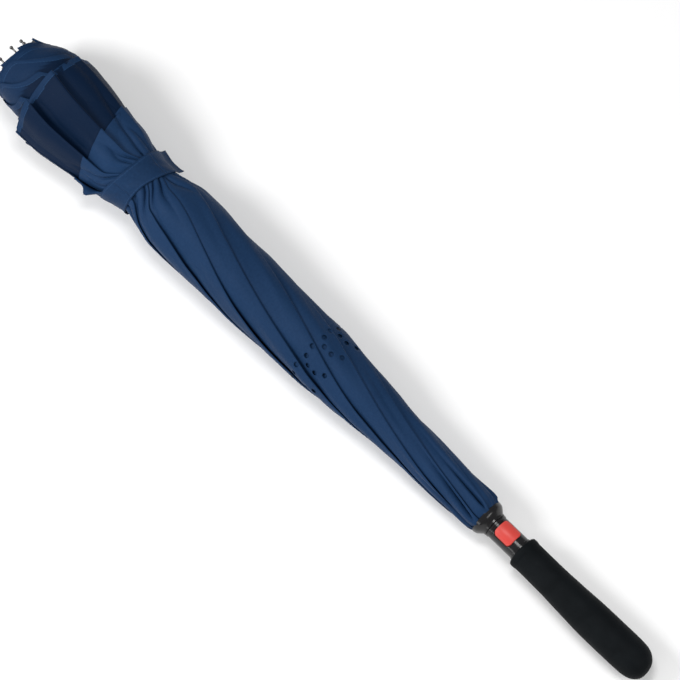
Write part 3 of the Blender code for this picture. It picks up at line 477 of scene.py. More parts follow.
# A block with rounded corners in the plane that faces out, from radius low to high
def roundedBlock(name, width, length, corner, low, high):
    deselect()
    bpy.ops.mesh.primitive_cube_add(size=1, location=((low + high) / 2, 0, button["station"]),
                                    scale=(high - low, width, length))
    obj = bpy.context.object
    obj.name = name
    bpy.ops.object.transform_apply(location=True, rotation=True, scale=True)
    bpy.ops.object.mode_set(mode="EDIT")
    bpy.ops.mesh.select_all(action="DESELECT")
    shape = bmesh.from_edit_mesh(obj.data)
    for edge in shape.edges:
        way = edge.verts[1].co - edge.verts[0].co
        edge.select_set(abs(way.x) > abs(way.y) + abs(way.z))
    bmesh.update_edit_mesh(obj.data)
    bpy.ops.mesh.bevel(offset=corner, segments=7, affect="EDGES")
    bpy.ops.object.mode_set(mode="OBJECT")
    return obj


def makeHousing():
    low, high = housing["start"], housing["start"] + housing["length"]
    plain, bore, wide, soft = housing["radius"], housing["bore"], housing["ringWidth"], housing["soft"]
    ring, floor = plain + housing["ringHeight"], plain - housing["groove"]
    inside, under = plain - housing["wall"], high - wide
    outline = [(bore, high), (plain - soft, high), (ring - soft, high - soft), (ring, high - 2 * soft),
               (ring, under + soft), (ring - soft, under), (plain, under - soft)]
    outline += [(r, under - s) for r, s in zip((plain, floor, floor, plain), housing["grooveAt"])]
    outline += [(plain, low + wide + soft), (ring - soft, low + wide), (ring, low + wide - soft),
                (ring, low + soft), (ring - soft, low), (housing["foot"], low),
                (housing["foot"], low + housing["base"]), (inside, low + housing["base"]),
                (inside, high - housing["base"]), (bore, high - housing["base"]), (bore, high)]
    obj = pullRings("buttonHousing", outline, housing["sides"], join=True)
    gap = 2 * button["gap"]
    window = roundedBlock("windowCutter", button["width"] + gap, button["length"] + gap, button["corner"],
                          button["sideRise"] - button["windowDeeper"], button["outside"])
    applied(obj, "BOOLEAN", operation="DIFFERENCE", object=window, solver="EXACT")
    bpy.data.objects.remove(window)
    layDown(obj, glossBlack)
    standIn(obj, "shaft", "button_housing")


def makeButton():
    deselect()
    bpy.ops.mesh.primitive_cylinder_add(vertices=160, radius=button["top"], depth=2 * button["length"],
                                        location=(0, 0, button["station"]))
    barrel = bpy.context.object
    barrel.name = "buttonBarrel"
    bore = pullRings("buttonBore", [(button["under"], button["station"] - button["length"] * 1.2),
                                    (button["under"], button["station"] + button["length"] * 1.2)], 96)
    closeEnds(bore)
    obj = roundedBlock("pushButton", button["width"], button["length"], button["corner"],
                       button["sideRise"], button["outside"])
    applied(obj, "BOOLEAN", operation="INTERSECT", object=barrel, solver="EXACT")
    applied(obj, "BOOLEAN", operation="DIFFERENCE", object=bore, solver="EXACT")
    bpy.data.objects.remove(barrel)
    bpy.data.objects.remove(bore)
    applied(obj, "BEVEL", width=button["edge"], segments=3, limit_method="ANGLE",
            angle_limit=math.radians(40))
    layDown(obj, glossRed, Matrix.Rotation(button["turn"], 4, "Z"))
    standIn(obj, "button", "push_button")


def makeCollar():
    low, high, wall = collar["start"], collar["start"] + collar["length"], collar["wall"]
    soft, foot, rim, lip = collar["soft"], collar["foot"], collar["rim"], collar["lip"]
    bore, base = collar["bore"], low + collar["base"]
    bell = [(foot + (rim - foot) * out, low + collar["length"] * up) for out, up in collar["bell"]][::-1]
    outline = [(rim - wall, high), (rim - soft, high), (rim, high - soft), (rim, high - lip),
               (rim - collar["lipStep"], high - lip - collar["lipEdge"])] + bell
    outline += [(foot, low + soft), (foot - soft, low), (bore, low), (bore, base), (foot - wall / 2, base),
                (foot + wall / 2, low + collar["coneStart"]), (rim - wall, high - collar["mouthDepth"]),
                (rim - wall, high)]
    obj = pullRings("runnerCollar", outline, collar["sides"], join=True)
    layDown(obj, glossBlack)
    standIn(obj, "runner", "runner_collar")


makeHousing()
makeButton()
makeCollar()
print("housing, button and collar made")

# springs
springs = {
    "main": {"radius": 0.0037, "wire": 0.0006, "start": 0.0432, "end": 0.1970, "turns": 62},
    "button": {"radius": 0.0013, "wire": 0.0003, "start": 0.0060, "end": 0.0082, "turns": 5},
    "pointsPerTurn": 14, "pressedShare": 0.45,
}


def coilPiece(name, spring):
    curve = bpy.data.curves.new(name, "CURVE")
    curve.dimensions = "3D"
    curve.bevel_depth = spring["wire"]
    curve.bevel_resolution = 1
    curve.use_fill_caps = True
    line = curve.splines.new("POLY")
    count = spring["turns"] * springs["pointsPerTurn"] + 1
    line.points.add(count - 1)
    low, high = spring["start"] + spring["wire"], spring["end"] - spring["wire"]
    for k, point in enumerate(line.points):
        turn = 2 * math.pi * k / springs["pointsPerTurn"]
        rise = low + (high - low) * k / (count - 1)
        point.co = (spring["radius"] * math.cos(turn), spring["radius"] * math.sin(turn), rise, 1)
    pick(placed(name, curve))
    bpy.ops.object.convert(target="MESH")
    return bpy.context.object


def makeSprings():
    obj = layDown(coilPiece("openingSpring", springs["main"]), springSteel)
    stretch = [(frameBack @ vertex.co).z for vertex in obj.data.vertices]
    low, high = min(stretch), max(stretch)
    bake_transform(obj, "shaft", "runner", start=umbrellaFrame @ Vector((0, 0, low)),
             end=umbrellaFrame @ Vector((0, 0, high)))
    setWeights(obj, [(rise - low) / (high - low) for rise in stretch])
    takeOver("main_spring")
    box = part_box("button_spring")
    middle = frameBack @ ((box[0] + box[1]) / 2)
    spring = coilPiece("buttonSpring", springs["button"])
    turn = Matrix.Translation((0, 0, middle.z)) @ Matrix.Rotation(math.pi / 2, 4, "Y")
    layDown(spring, springSteel, turn)
    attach(spring, "shaft")
    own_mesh(spring)
    takeOver("button_spring")


def setWeights(obj, weights):
    attribute = obj.data.attributes["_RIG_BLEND"]
    attribute.data.foreach_set("value", np.clip(np.array(weights, np.float32), 0, 1))


makeSprings()
print("springs made")

# rib tips
tips = {"splay": math.radians(0.68), "circle": 0.0118, "shank": 0.584, "ribEnd": 0.592, "ball": 0.6005,
        "ballRadius": 0.0017, "rod": 0.0011, "shankRadius": 0.0008, "bowStart": 0.430, "bow": 0.0081,
        "sides": 20}


def ribBow(along):
    share = np.clip((along - tips["bowStart"]) / (tips["ball"] - tips["bowStart"]), 0, None)
    return tips["bow"] * share ** 2


def ribMatrix(index):
    angle = math.radians(canopy["ribTurn"] + 45 * index)
    return (Matrix.Rotation(angle, 4, "Z") @ Matrix.Translation((tips["circle"], 0, ribRoot))
            @ Matrix.Rotation(tips["splay"], 4, "Y"))


def makeTips():
    ball, end, rod, size = tips["ball"], tips["ribEnd"], tips["rod"], tips["ballRadius"]
    low = [(tips["shankRadius"] * 0.7, tips["shank"]), (tips["shankRadius"], tips["shank"] + 0.0004),
           (tips["shankRadius"], end - 0.0002), (rod * 1.25, end + 0.0003), (rod * 1.25, end + 0.0010),
           (rod * 0.85, end + 0.0016), (rod * 0.80, ball - size * 1.5), (rod * 0.95, ball - size * 0.92)]
    turns = np.linspace(math.radians(44), math.pi - 0.22, 9)
    knob = [(size * math.sin(a), ball - size * math.cos(a)) for a in turns]
    first = pullRings("ribTip_1", low + knob + [(0, ball + size)], tips["sides"])
    closeEnds(first)
    for vertex in first.data.vertices:
        vertex.co.x += ribBow(vertex.co.z)
    pieces = [first]
    for k in range(1, ribCount):
        copy = first.copy()
        copy.data = first.data.copy()
        copy.name = copy.data.name = f"ribTip_{k + 1}"
        bpy.context.scene.collection.objects.link(copy)
        pieces.append(copy)
    for k, obj in enumerate(pieces):
        layDown(obj, nickel, ribMatrix(k))
        standIn(obj, f"rib_{k + 1}", f"rib_tip_{k + 1}")


# canopy
canopy = {
    "start": 0.2035, "foldEnd": 0.7635, "knee": 0.640, "ribTurn": 8, "wrapAtCollar": 42,
    "wrapToStrap": 248, "wrapToFoldEnd": 8, "thickness": 0.00034, "hemWidth": 0.0048,
    # station, radius of the folds' edges
    "outline": ((0.2035, 0.0151), (0.2053, 0.0153), (0.2084, 0.0182), (0.2132, 0.0189), (0.237, 0.0191),
                (0.269, 0.0199), (0.2978, 0.0208), (0.327, 0.0220), (0.373, 0.0270), (0.4128, 0.0305),
                (0.4445, 0.0308), (0.4761, 0.0317), (0.5078, 0.0325), (0.5443, 0.0330), (0.5796, 0.0345),
                (0.6020, 0.0350), (0.6130, 0.0326), (0.6240, 0.0295), (0.6340, 0.0274), (0.6410, 0.0272),
                (0.6480, 0.0285), (0.6560, 0.0306), (0.6660, 0.0334), (0.680, 0.0380), (0.6982, 0.0408),
                (0.7171, 0.0446), (0.735, 0.0478), (0.753, 0.0494), (0.7633, 0.0492), (0.790, 0.0492)),
    # station, radius of the smooth cap past the folds' ends
    "cap": ((0.755, 0.0405), (0.764, 0.0397), (0.777, 0.0387), (0.786, 0.0373), (0.791, 0.0351),
            (0.796, 0.0326), (0.801, 0.0304), (0.808, 0.0287), (0.814, 0.0275)),
    "capLean": 0.0040, "capLeanEnd": 0.802, "capLeanLength": 0.020,
    # station, step from one fold down to the next
    "steps": ((0.2035, 0.0012), (0.230, 0.0018), (0.300, 0.0022), (0.380, 0.0026), (0.394, 0.0037),
              (0.428, 0.0037), (0.444, 0.0027), (0.600, 0.0026),
              (0.617, 0.0018), (0.660, 0.0018), (0.690, 0.0058), (0.715, 0.0088), (0.770, 0.0088)),
    # slow waves from gore to gore: height, reach along the umbrella, shift
    "unevenSteps": (0.30, 37, 2.9), "crest": (0.0004, 31, 2.1), "sway": (4.0, 23, 1.7),
    "swayTurn": (2.3, 0.7), "fullStep": 0.7,
    "stepRoom": 1.5, "flareRoom": 0.9, "flareStart": 0.672, "flareLength": 0.03,
    # the hems: the outermost folds', the inner ones' and the ribs', each at a station that swings round
    "hemMiddle": 0.7602, "hemSwing": 0.0095, "hemTurn": 5, "plateau": 0.7965, "plateauSwing": 0.0105,
    "plateauTurn": -10, "plateauRise": 0.0020, "ribHem": 0.8112, "lastFolds": 0.6, "lastCurve": 1.5,
    # folds from the outermost, share of the way from its hem out to the innermost folds' hems
    "cover": ((1.0, 0.0), (1.22, 0.25), (1.70, 0.34), (2.10, 0.56), (2.70, 1.0)),
    "hemRise": 0.00022, "hemEdge": 0.0004, "capStep": 0.0015, "hemStep": 0.0026, "hemFade": 0.005,
    # painted shade on the cap: up to capLit of its way from the outer hem to the plateau it takes the darker
    # canopy's colour, a painted shadow beside the hem's step, and beyond that only capShade of the lighter colour
    "capLit": 0.27, "capShade": 0.60,
    # the folds' fullness, hollows and rounded edges, and the layer that returns under each fold
    "puff": 0.0011, "puffCurve": 0.8, "puffShare": 0.26, "hollow": 0.0026, "round": 0.07, "edgeDrop": 0.175,
    "backShare": 0.36, "overRibs": 0.0008, "intoSkin": 0.0012,
    # where it lies on the floor
    "pressFrom": 0.78, "pressSlack": 0.0018, "floorGap": 0.0004,
    # the vented lining ends here, and the darker canopy shows beyond it
    "lining": 0.6985, "liningSwing": 0.0030, "liningSlant": 0.0075, "liningStep": 0.0010,
    "fullGores": (1, 4),
    "nip": {"gore": 0, "station": 0.6745, "spread": 0.0050, "height": 0.0085, "folds": 0.35},
    # station, degrees that the folds are turned by at the strap and past it
    "twist": ((0.590, 0), (0.615, -5), (0.640, -12), (0.657, -26), (0.690, -27), (0.740, -27.5),
              (0.775, -24), (0.800, -20)),
}
# over the ribs: how far the cloth lies over their line, thinner towards the tips, and over their roots
ribSkinShape = {"over": 0.0024, "thinner": 0.0010, "thinFrom": 0.780, "thinLength": 0.028,
                "roots": ((0.2035, 0.0124), (0.207, 0.0131), (0.211, 0.0148), (0.218, 0.0150),
                          (0.226, 0.0140))}
tableStep = 0.0005


def smoothTable(points, spread, low=0.200, high=0.830):
    grid = np.arange(low, high, tableStep)
    raw = np.interp(grid, *zip(*points))
    reach = int(4 * spread / tableStep)
    kernel = np.exp(-0.5 * (np.arange(-reach, reach + 1) * tableStep / spread) ** 2)
    padded = np.pad(raw, reach, mode="edge")
    return grid, np.convolve(padded, kernel / kernel.sum(), mode="valid")


outlineTable = smoothTable(canopy["outline"], 0.0028)
capTable = smoothTable(canopy["cap"], 0.0030)
stepTable = smoothTable(canopy["steps"], 0.0060)
twistTable = smoothTable(canopy["twist"], 0.0060)


def lookUp(table, station):
    return np.interp(station, *table)


def wrapAngle(station):  # degrees that a gore's fold has gone round from its rib
    rise = np.clip((station - canopy["start"]) / (canopy["knee"] - canopy["start"]), 0, 1)
    rest = np.clip((station - canopy["knee"]) / (canopy["foldEnd"] - canopy["knee"]), 0, 1)
    wrap = canopy["wrapAtCollar"] + canopy["wrapToStrap"] * rise + canopy["wrapToFoldEnd"] * rest
    return wrap + lookUp(twistTable, station)


def ribSkin(station):  # the lowest that cloth lies, just over the ribs
    along, shape = station - ribRoot, ribSkinShape
    taper = np.clip((station - shape["thinFrom"]) / shape["thinLength"], 0, 1)
    line = tips["circle"] + along * math.sin(tips["splay"]) + ribBow(along)
    return np.maximum(line + shape["over"] - shape["thinner"] * taper,
                      np.interp(station, *zip(*shape["roots"])))


def hemBase(angle):
    return canopy["hemMiddle"] + canopy["hemSwing"] * np.cos(np.radians(angle - canopy["hemTurn"]))


def hemPlateau(angle):
    return canopy["plateau"] + canopy["plateauSwing"] * np.cos(np.radians(angle - canopy["plateauTurn"]))


coverFolds, coverShares = zip(*canopy["cover"])


def hemStation(depth, angle, depthEnd):
    base, plateau, most = hemBase(angle), hemPlateau(angle), coverFolds[-1]
    inner = depthEnd - canopy["lastFolds"]
    rise = np.interp(depth, coverFolds, coverShares)
    flat = np.clip((depth - most) / (inner - most), 0, 1)
    last = np.clip((depth - inner) / canopy["lastFolds"], 0, 1)
    station = base + (plateau - base) * rise + canopy["plateauRise"] * flat
    return station + (canopy["ribHem"] - plateau - canopy["plateauRise"]) * last ** canopy["lastCurve"]


def coverDepth(station, angle, depthEnd):  # how many folds have already ended at this station
    base, plateau, most = hemBase(angle), hemPlateau(angle), coverFolds[-1]
    share = np.clip((station - base) / (plateau - base), 0, 1)
    cover = np.interp(share, coverShares, coverFolds)
    flat = np.clip((station - plateau) / canopy["plateauRise"], 0, 1)
    cover = cover + (depthEnd - canopy["lastFolds"] - most) * flat
    end = plateau + canopy["plateauRise"]
    last = np.clip((station - end) / (canopy["ribHem"] - end), 0, 1)
    cover = cover + canopy["lastFolds"] * last ** (1 / canopy["lastCurve"])
    return np.where(station > base, cover, 0.0)


# the strap draws the folds together round one angle, by some degrees, from nothing to all and back again
drawn = {"angle": 38.0, "most": 27.0, "stations": (0.6165, 0.6380, 0.6500, 0.6740), "shares": (0.08, 0.6)}


def drawTogether(angle, station, share):  # the cloth's edges stay on their ribs
    rise = np.interp(station, drawn["stations"], (0, 1, 1, 0))
    rise = rise * rise * (3 - 2 * rise) * np.interp(share, drawn["shares"], (0, 1))
    return angle - drawn["most"] * rise * np.sin(np.radians(angle - drawn["angle"]))


gathers = {
    "strap": {"station": 0.6465, "slant": 0.0045, "half": 0.0075, "depth": 0.0046, "width": 3.6,
              "calm": 0.75, "calmReach": 0.012},
    "collar": {"station": 0.2070, "depth": 0.0075, "width": 5.0},
    "start": 0.008, "most": 1.3, "sharp": 1.3,
}
# creases that run out from the strap and from the collar: angle, degrees turned in 10 mm, length
tipCreases = (
    (22, 2.5, 0.058), (52, -4.0, 0.030), (2, -3.5, 0.026), (-16, 3.0, 0.022), (-48, -5.0, 0.030),
    (-75, 2.0, 0.024), (82, 3.0, 0.034), (112, -3.0, 0.026), (140, 4.0, 0.040), (171, 2.0, 0.028),
    (203, -3.0, 0.036), (232, 3.5, 0.026), (262, -2.0, 0.034))
gripCreases = (
    (26, 4.5, 0.030), (8, -4.0, 0.036), (54, 3.0, 0.024), (-12, -6.0, 0.030), (-38, -5.0, 0.022),
    (-66, -3.0, 0.028), (84, -4.0, 0.030), (116, 3.0, 0.040), (147, -3.0, 0.026), (178, 4.0, 0.036),
    (209, -2.0, 0.028), (241, 3.0, 0.034), (272, -3.0, 0.026))
collarCreases = (
    (2, 3.2, 0.058), (-50, 6.2, 0.056), (62, 2.5, 0.030), (98, -2.0, 0.026), (131, 3.0, 0.044),
    (170, 1.5, 0.030), (204, 3.5, 0.048), (243, -1.5, 0.026), (278, 2.5, 0.040))
# long creases that follow the folds: height, how many go round, mm of length to a radian, shift
foldWaves = ((0.00050, 5, 47, 0.0), (0.00032, 9, -61, 1.3), (0.00016, 14, 33, 0.6), (0.00006, 23, -21, 0.0))
crossWave, capCalm = 0.00022, 0.55


def creased(angle, distance, gather, creases):  # the depth of narrow valleys that fade with their distance
    depth = np.zeros(np.broadcast(angle, distance).shape)
    for place, lean, length in creases:
        off = (angle - place - lean * distance * 100 + 180) % 360 - 180
        wide = gather["width"] * (0.7 + 0.5 * distance / length)
        depth = depth + np.exp(-np.abs(off / wide) ** gathers["sharp"]) * np.exp(-(distance / length) ** 2)
    return gather["depth"] * np.minimum(depth, gathers["most"]) * np.clip(distance / gathers["start"], 0, 1)


def ripples(angle, station):  # long creases that follow the folds, and gathers at the strap and the collar
    along, turn, far = np.radians(angle - wrapAngle(station)), np.radians(angle), station * 1000
    soft = sum(height * np.sin(count * along + far / reach + shift)
               for height, count, reach, shift in foldWaves)
    soft += crossWave * np.sin(3 * turn + far / 11 + 2 * np.sin(far / 29)) * np.sin(4 * along - far / 23)
    tied, mouth = gathers["strap"], gathers["collar"]
    away = station - tied["station"] + tied["slant"] * np.sin(turn)
    soft = soft * (1 - tied["calm"] * np.exp(-(away / tied["calmReach"]) ** 4))
    for side, creases in ((1, tipCreases), (-1, gripCreases)):
        soft = soft - creased(angle, np.clip(side * away - tied["half"], 0, None), tied, creases)
    soft = soft - creased(angle, np.clip(station - mouth["station"], 0, None), mouth, collarCreases)
    return soft * (1 - capCalm * np.clip((far - 770) / 10, 0, 1))


def liningEnd(depth, angle):  # the lining's hem hangs back from each fold
    saw = np.clip(depth, 0, 1)
    slant = canopy["liningSlant"] * np.sin(np.radians(angle))
    return canopy["lining"] + slant + canopy["liningSwing"] * (0.5 - saw)


def slowWave(name, station, index, share=1):
    height, reach, shift = canopy[name]
    return height * share * np.sin(station * reach + shift * index)


# Where a gore's cloth goes round. share runs from the rib (0) to the fold (1); back is the returning layer.
def foldPlace(index, share, station, back):
    swayTurn = canopy["swayTurn"][0] * index + canopy["swayTurn"][1]
    wrap = wrapAngle(station) + slowWave("sway", station, index, math.sin(swayTurn))
    start = canopy["ribTurn"] + 45 * index
    angle = start + (45 + (wrap - 45) * share if back else wrap * share)
    return angle, (start + wrap - angle) / 45, wrap / 45


def clothPoints(index, share, station, back):
    angle, depth, full = foldPlace(index, share, station, back)
    turn = np.radians(angle)
    cover = coverDepth(station, angle, full)
    capped = cover > 0
    x = np.clip(depth - cover, 0, None)
    span = np.maximum(full - cover, 0.05)
    skin = ribSkin(station)
    leanShare = np.clip((canopy["capLeanEnd"] - station) / canopy["capLeanLength"], 0, 1)
    cap = lookUp(capTable, station) + canopy["capLean"] * np.sin(turn) * leanShare
    outer = np.maximum(np.where(capped, cap, lookUp(outlineTable, station)), skin + canopy["overRibs"])
    room = (outer - skin) / span
    fade = np.exp(-np.clip(station - hemBase(angle), 0, None) / canopy["hemFade"])
    capStep = np.minimum(canopy["capStep"] + canopy["hemStep"] * fade, room)
    flare = np.clip((station - canopy["flareStart"]) / canopy["flareLength"], 0, 1)
    deepen = 1 + slowWave("unevenSteps", station, index)
    deepen = deepen * (1 - canopy["fullStep"] * flare * (index in canopy["fullGores"]))
    most = (canopy["stepRoom"] + canopy["flareRoom"] * flare) * room
    first = np.where(capped, capStep, np.minimum(lookUp(stepTable, station) * deepen, most))

    def radius(x):
        deep = skin + (outer - first - skin) * np.clip(1 - (x - 1) / np.maximum(span - 1, 0.02), 0, 1)
        return np.where(span <= 1, outer - (outer - skin) * np.clip(x / span, 0, 1),
                        np.where(x <= 1, outer - first * x, deep))

    here, below = radius(x), radius(x + 1)
    loose = np.where(capped, 0.0, 1.0)
    if back:
        under = canopy["backShare"] + (1 - canopy["backShare"]) * (1 - share) ** 8
        here = here - (here - below) * under * np.sqrt(np.clip(depth / canopy["round"], 0, 1))
    else:
        puff = loose * np.minimum(canopy["puffShare"] * first, canopy["puff"])
        here = here + puff * (1 - flare) * np.sin(math.pi * np.clip(x, 0, 1)) ** canopy["puffCurve"]
        here = here - loose * flare * canopy["hollow"] * 4 * np.clip(x * (1 - x), 0, 1)
        drop = canopy["edgeDrop"] * np.clip(1 - depth / canopy["round"], 0, 1) ** 2
        here = here - drop * (here - below)
        gap = hemStation(depth, angle, full) - station
        here = here + canopy["hemRise"] * np.clip((canopy["hemWidth"] - gap) / canopy["hemEdge"], 0, 1)
        nip = canopy["nip"]
        if index == nip["gore"]:
            pulled = np.exp(-((station - nip["station"]) / nip["spread"]) ** 2)
            here = here + nip["height"] * pulled * np.clip(1 - depth / nip["folds"], 0, 1)
    lined = station < liningEnd(depth, angle) + 1e-5
    here = here + slowWave("crest", station, index) * np.clip(1 - x, 0, 1)
    here = here + ripples(angle, station) + loose * lined * canopy["liningStep"]
    here = np.maximum(here, skin - canopy["intoSkin"])
    turn = np.radians(drawTogether(angle, station, share))
    points = np.stack([here * np.cos(turn), here * np.sin(turn), station], axis=-1)
    ground = groundDepth(station)
    pressed = canopy["pressFrom"] * ground
    widest = np.maximum(lookUp(outlineTable, station) + canopy["pressSlack"], ground)
    press = (ground - canopy["floorGap"] - pressed) / (widest - pressed)
    down = -points[..., 0]
    points[..., 0] = -np.where(down > pressed, pressed + (down - pressed) * press, down)
    past = (station - hemBase(angle)) / (hemPlateau(angle) - hemBase(angle))
    # the colour mix: the lining's lighter cloth, the darker canopy past the lining's hem, and painted shade on the
    # cap
    return points, np.where(capped, canopy["capShade"] * (past > canopy["capLit"]), lined * 1.0)


# stations of the grid's rows: from, to, step. They are close together at the vents and the lining's hem.
lining = canopy["lining"]
rowBands = ((0.2035, 0.280, 0.0022), (0.280, 0.390, 0.0045), (0.390, 0.4285, 0.0010),
            (0.4285, 0.606, 0.0045), (0.606, lining - 0.0030, 0.0021))
liningRows = lining + np.array([-0.0016, -0.0006, -0.00015, 0.0001, 0.0004, 0.0014])
lastBand = (lining + 0.0035, 0.7445, 0.0030)
rows = np.concatenate([*(np.arange(*band) for band in rowBands), liningRows, np.arange(*lastBand)])
capRows, capCurve, capGap = 32, 0.85, 0.0015
# columns: close together near the fold's edge
columns = {"fine": 50, "deep": 22, "fineShare": 0.26, "curve": 1.12}
# the returning layer's end: just under the outer layer, and on the next rib for the innermost folds
tuck = {"depth": 0.0012, "folds": 0.12, "from": 2.6, "over": 1.6, "under": 0.0002, "trim": 0.000002,
        "pull": 0.024}
vents = {  # folds back from the gore's own fold, station
    "places": ((0.12, 0.4222), (0.52, 0.4205), (0.71, 0.4140), (0.62, 0.4048), (0.28, 0.3958)),
    "radius": 0.00225, "cut": 1.02, "edge": 1.05,
}


def acrossShares():
    fine = 1 - columns["fineShare"] * np.linspace(0, 1, columns["fine"]) ** columns["curve"]
    deep = np.linspace(fine[-1], 0, columns["deep"] + 1)[1:]
    return np.concatenate([fine, deep])[::-1]


def gridQuads(rowCount, columnCount):
    ids = np.arange(rowCount * columnCount).reshape(rowCount, columnCount)
    return np.stack([ids[:-1, :-1], ids[:-1, 1:], ids[1:, 1:], ids[1:, :-1]], axis=-1).reshape(-1, 4)


def runAcross(grid):  # metres along each row, for the cloth's map
    steps = np.linalg.norm(np.diff(grid, axis=1), axis=2)
    return np.pad(np.cumsum(steps, axis=1), ((0, 0), (1, 0))).reshape(-1)


# angle round the shaft, from the rib, with the runner at full travel
def openedTurn(points, index, weight):
    world = toWorld(points)
    world = swung(world, f"gore_unfold_{index + 1}", weight)
    world = swung(world, f"rib_pivot_{index + 1}", np.ones(len(points)))
    away = world - np.array(umbrellaFrame.translation)
    x, y = away @ np.array(topWay), away @ np.array(sideWay)
    turn = np.degrees(np.arctan2(y, x)) - canopy["ribTurn"] - 45 * index
    return (turn + 180) % 360 - 180


def swung(world, name, weight):
    joint = joints[name]
    axis = np.array(joint["axis"]) / np.linalg.norm(joint["axis"])
    pivot = np.array(joint["pos_m"])
    angle = ratios[name] * travel * weight
    arm = world - pivot
    cosine, sine = np.cos(angle)[:, None], np.sin(angle)[:, None]
    return (pivot + arm * cosine + np.cross(axis, arm) * sine
            + axis * (arm @ axis)[:, None] * (1 - cosine))


def openingWeights(points, index, across):
    low, high = np.zeros(len(points)), np.ones(len(points))
    for _ in range(12):
        middle = (low + high) / 2
        short = openedTurn(points, index, middle) < 45 * across
        low, high = np.where(short, middle, low), np.where(short, high, middle)
    return (low + high) / 2


def hemEnds(index, order, back):  # where each column of the grid ends
    end = np.full(len(order), canopy["plateau"])
    for _ in range(8):
        angle, depth, full = foldPlace(index, order, end, back)
        end = hemStation(depth, angle, full)
    if back:
        near = np.clip((depth - (full - tuck["from"])) / tuck["over"], 0, 1)
        tucked = end - tuck["depth"] * np.clip(depth / tuck["folds"], 0, 1)
        end = tucked * (1 - near) + (canopy["ribHem"] - tuck["under"]) * near
    return end - tuck["trim"]


def makeGore(index):
    shares = acrossShares()
    layers = []
    for back in (False, True):
        order = shares[::-1][1:] if back else shares
        share = np.broadcast_to(order, (len(rows) + capRows, len(order)))
        end, low = hemEnds(index, order, back), lastBand[1] + capGap
        lastRows = np.linspace(0, 1, capRows)[:, None] ** capCurve * (end - low) + low
        angle, depth, _ = foldPlace(index, order, lining, back)
        pull = np.clip(1 - np.abs(rows - lining) / tuck["pull"], 0, 1)[:, None]
        station = np.concatenate([rows[:, None] + (liningEnd(depth, angle) - lining) * pull, lastRows])
        points, liningAndPaintedShade = clothPoints(index, share, station, back)
        layers.append((points, end[None, :] - station, 1 - share / 2 if back else share / 2, liningAndPaintedShade))
    grid, gap, across, liningAndPaintedShade = (np.concatenate(part, axis=1) for part in zip(*layers))
    flat, across = grid.reshape(-1, 3).copy(), across.reshape(-1)
    quads = punchVents(index, flat, gridQuads(*grid.shape[:2]), across)
    obj = sheetPiece(f"canopyGore_{index + 1}", flat, quads, runAcross(grid), gap.reshape(-1), canopyNavy,
                     canopy["thickness"], liningAndPaintedShade.reshape(-1))
    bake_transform(obj, f"rib_{index + 1}", f"gore_{index + 1}", start=ribPivots[index],
             end=ribPivots[index] + shaftWay * 0.6)
    setWeights(obj, spread(obj, openingWeights(flat, index, across)))
    takeOver(f"gore_{index + 1}")


# Cuts the round vents out of the outer layer and draws the cut's edge onto a circle
def punchVents(index, flat, quads, across):
    own = across <= 0.5
    for folds, station in vents["places"]:
        share = 1 - folds * 45 / float(wrapAngle(station))
        centre, _ = clothPoints(index, np.array([share]), np.array([station]), False)
        distance = np.linalg.norm(flat - centre[0], axis=1)
        near = (distance < vents["radius"] * vents["cut"]) & own
        drop = near[quads].any(axis=1)
        edge = np.setdiff1d(np.unique(quads[drop]), np.flatnonzero(near))
        quads = quads[~drop]
        arm = flat[edge] - centre[0]
        length = np.linalg.norm(arm, axis=1)[:, None]
        flat[edge] = centre[0] + arm / length * (vents["radius"] * vents["edge"])
    return quads


# A cloth sheet from a grid, with its map in metres, its distance from the hem, and its thickness
def sheetPiece(name, flat, quads, run, gap, finish, thickness, liningAndPaintedShade=None):
    used = np.unique(quads)
    place = np.full(len(flat), -1)
    place[used] = np.arange(len(used))
    mesh = bpy.data.meshes.new(name)
    mesh.from_pydata(toWorld(flat[used]).tolist(), [], place[quads].tolist())
    # the lining attribute holds the colour mix, with the cap's painted shade
    liningAndPaintedShade = np.ones(len(flat)) if liningAndPaintedShade is None else liningAndPaintedShade
    for label, values in (("hemGap", gap[used]), ("opening", used.astype(float)), ("lining", liningAndPaintedShade[used])):
        mesh.attributes.new(label, "FLOAT", "POINT").data.foreach_set("value", values.astype(np.float32))
    corners = np.zeros(len(mesh.loops), int)
    mesh.loops.foreach_get("vertex_index", corners)
    uv = np.stack([run[used][corners], flat[used][corners, 2]], axis=1)
    mesh.uv_layers.new(name="clothMap").data.foreach_set("uv", uv.astype(np.float32).ravel())
    mesh.materials.append(finish)
    obj = placed(name, mesh)
    applied(obj, "SOLIDIFY", thickness=thickness, offset=0)
    pick(obj)
    bpy.ops.object.shade_smooth()
    return obj


def spread(obj, weights):  # the grid's weights, at the finished mesh's points
    source = np.zeros(len(obj.data.vertices), np.float32)
    obj.data.attributes["opening"].data.foreach_get("value", source)
    return weights[np.clip(np.rint(source).astype(int), 0, len(weights) - 1)]


makeTips()
print("rib tips made")
for index in range(ribCount):
    makeGore(index)
print("canopy gores made")

# the outer layer's centre, pleated between the stretchers
crown = {"notchStation": 0.7323, "notchCircle": 0.0083, "joint": 0.240, "pleats": 16, "height": 0.0058,
         "rows": 40, "clear": 6.0, "thickness": 0.00012, "least": 0.0061}


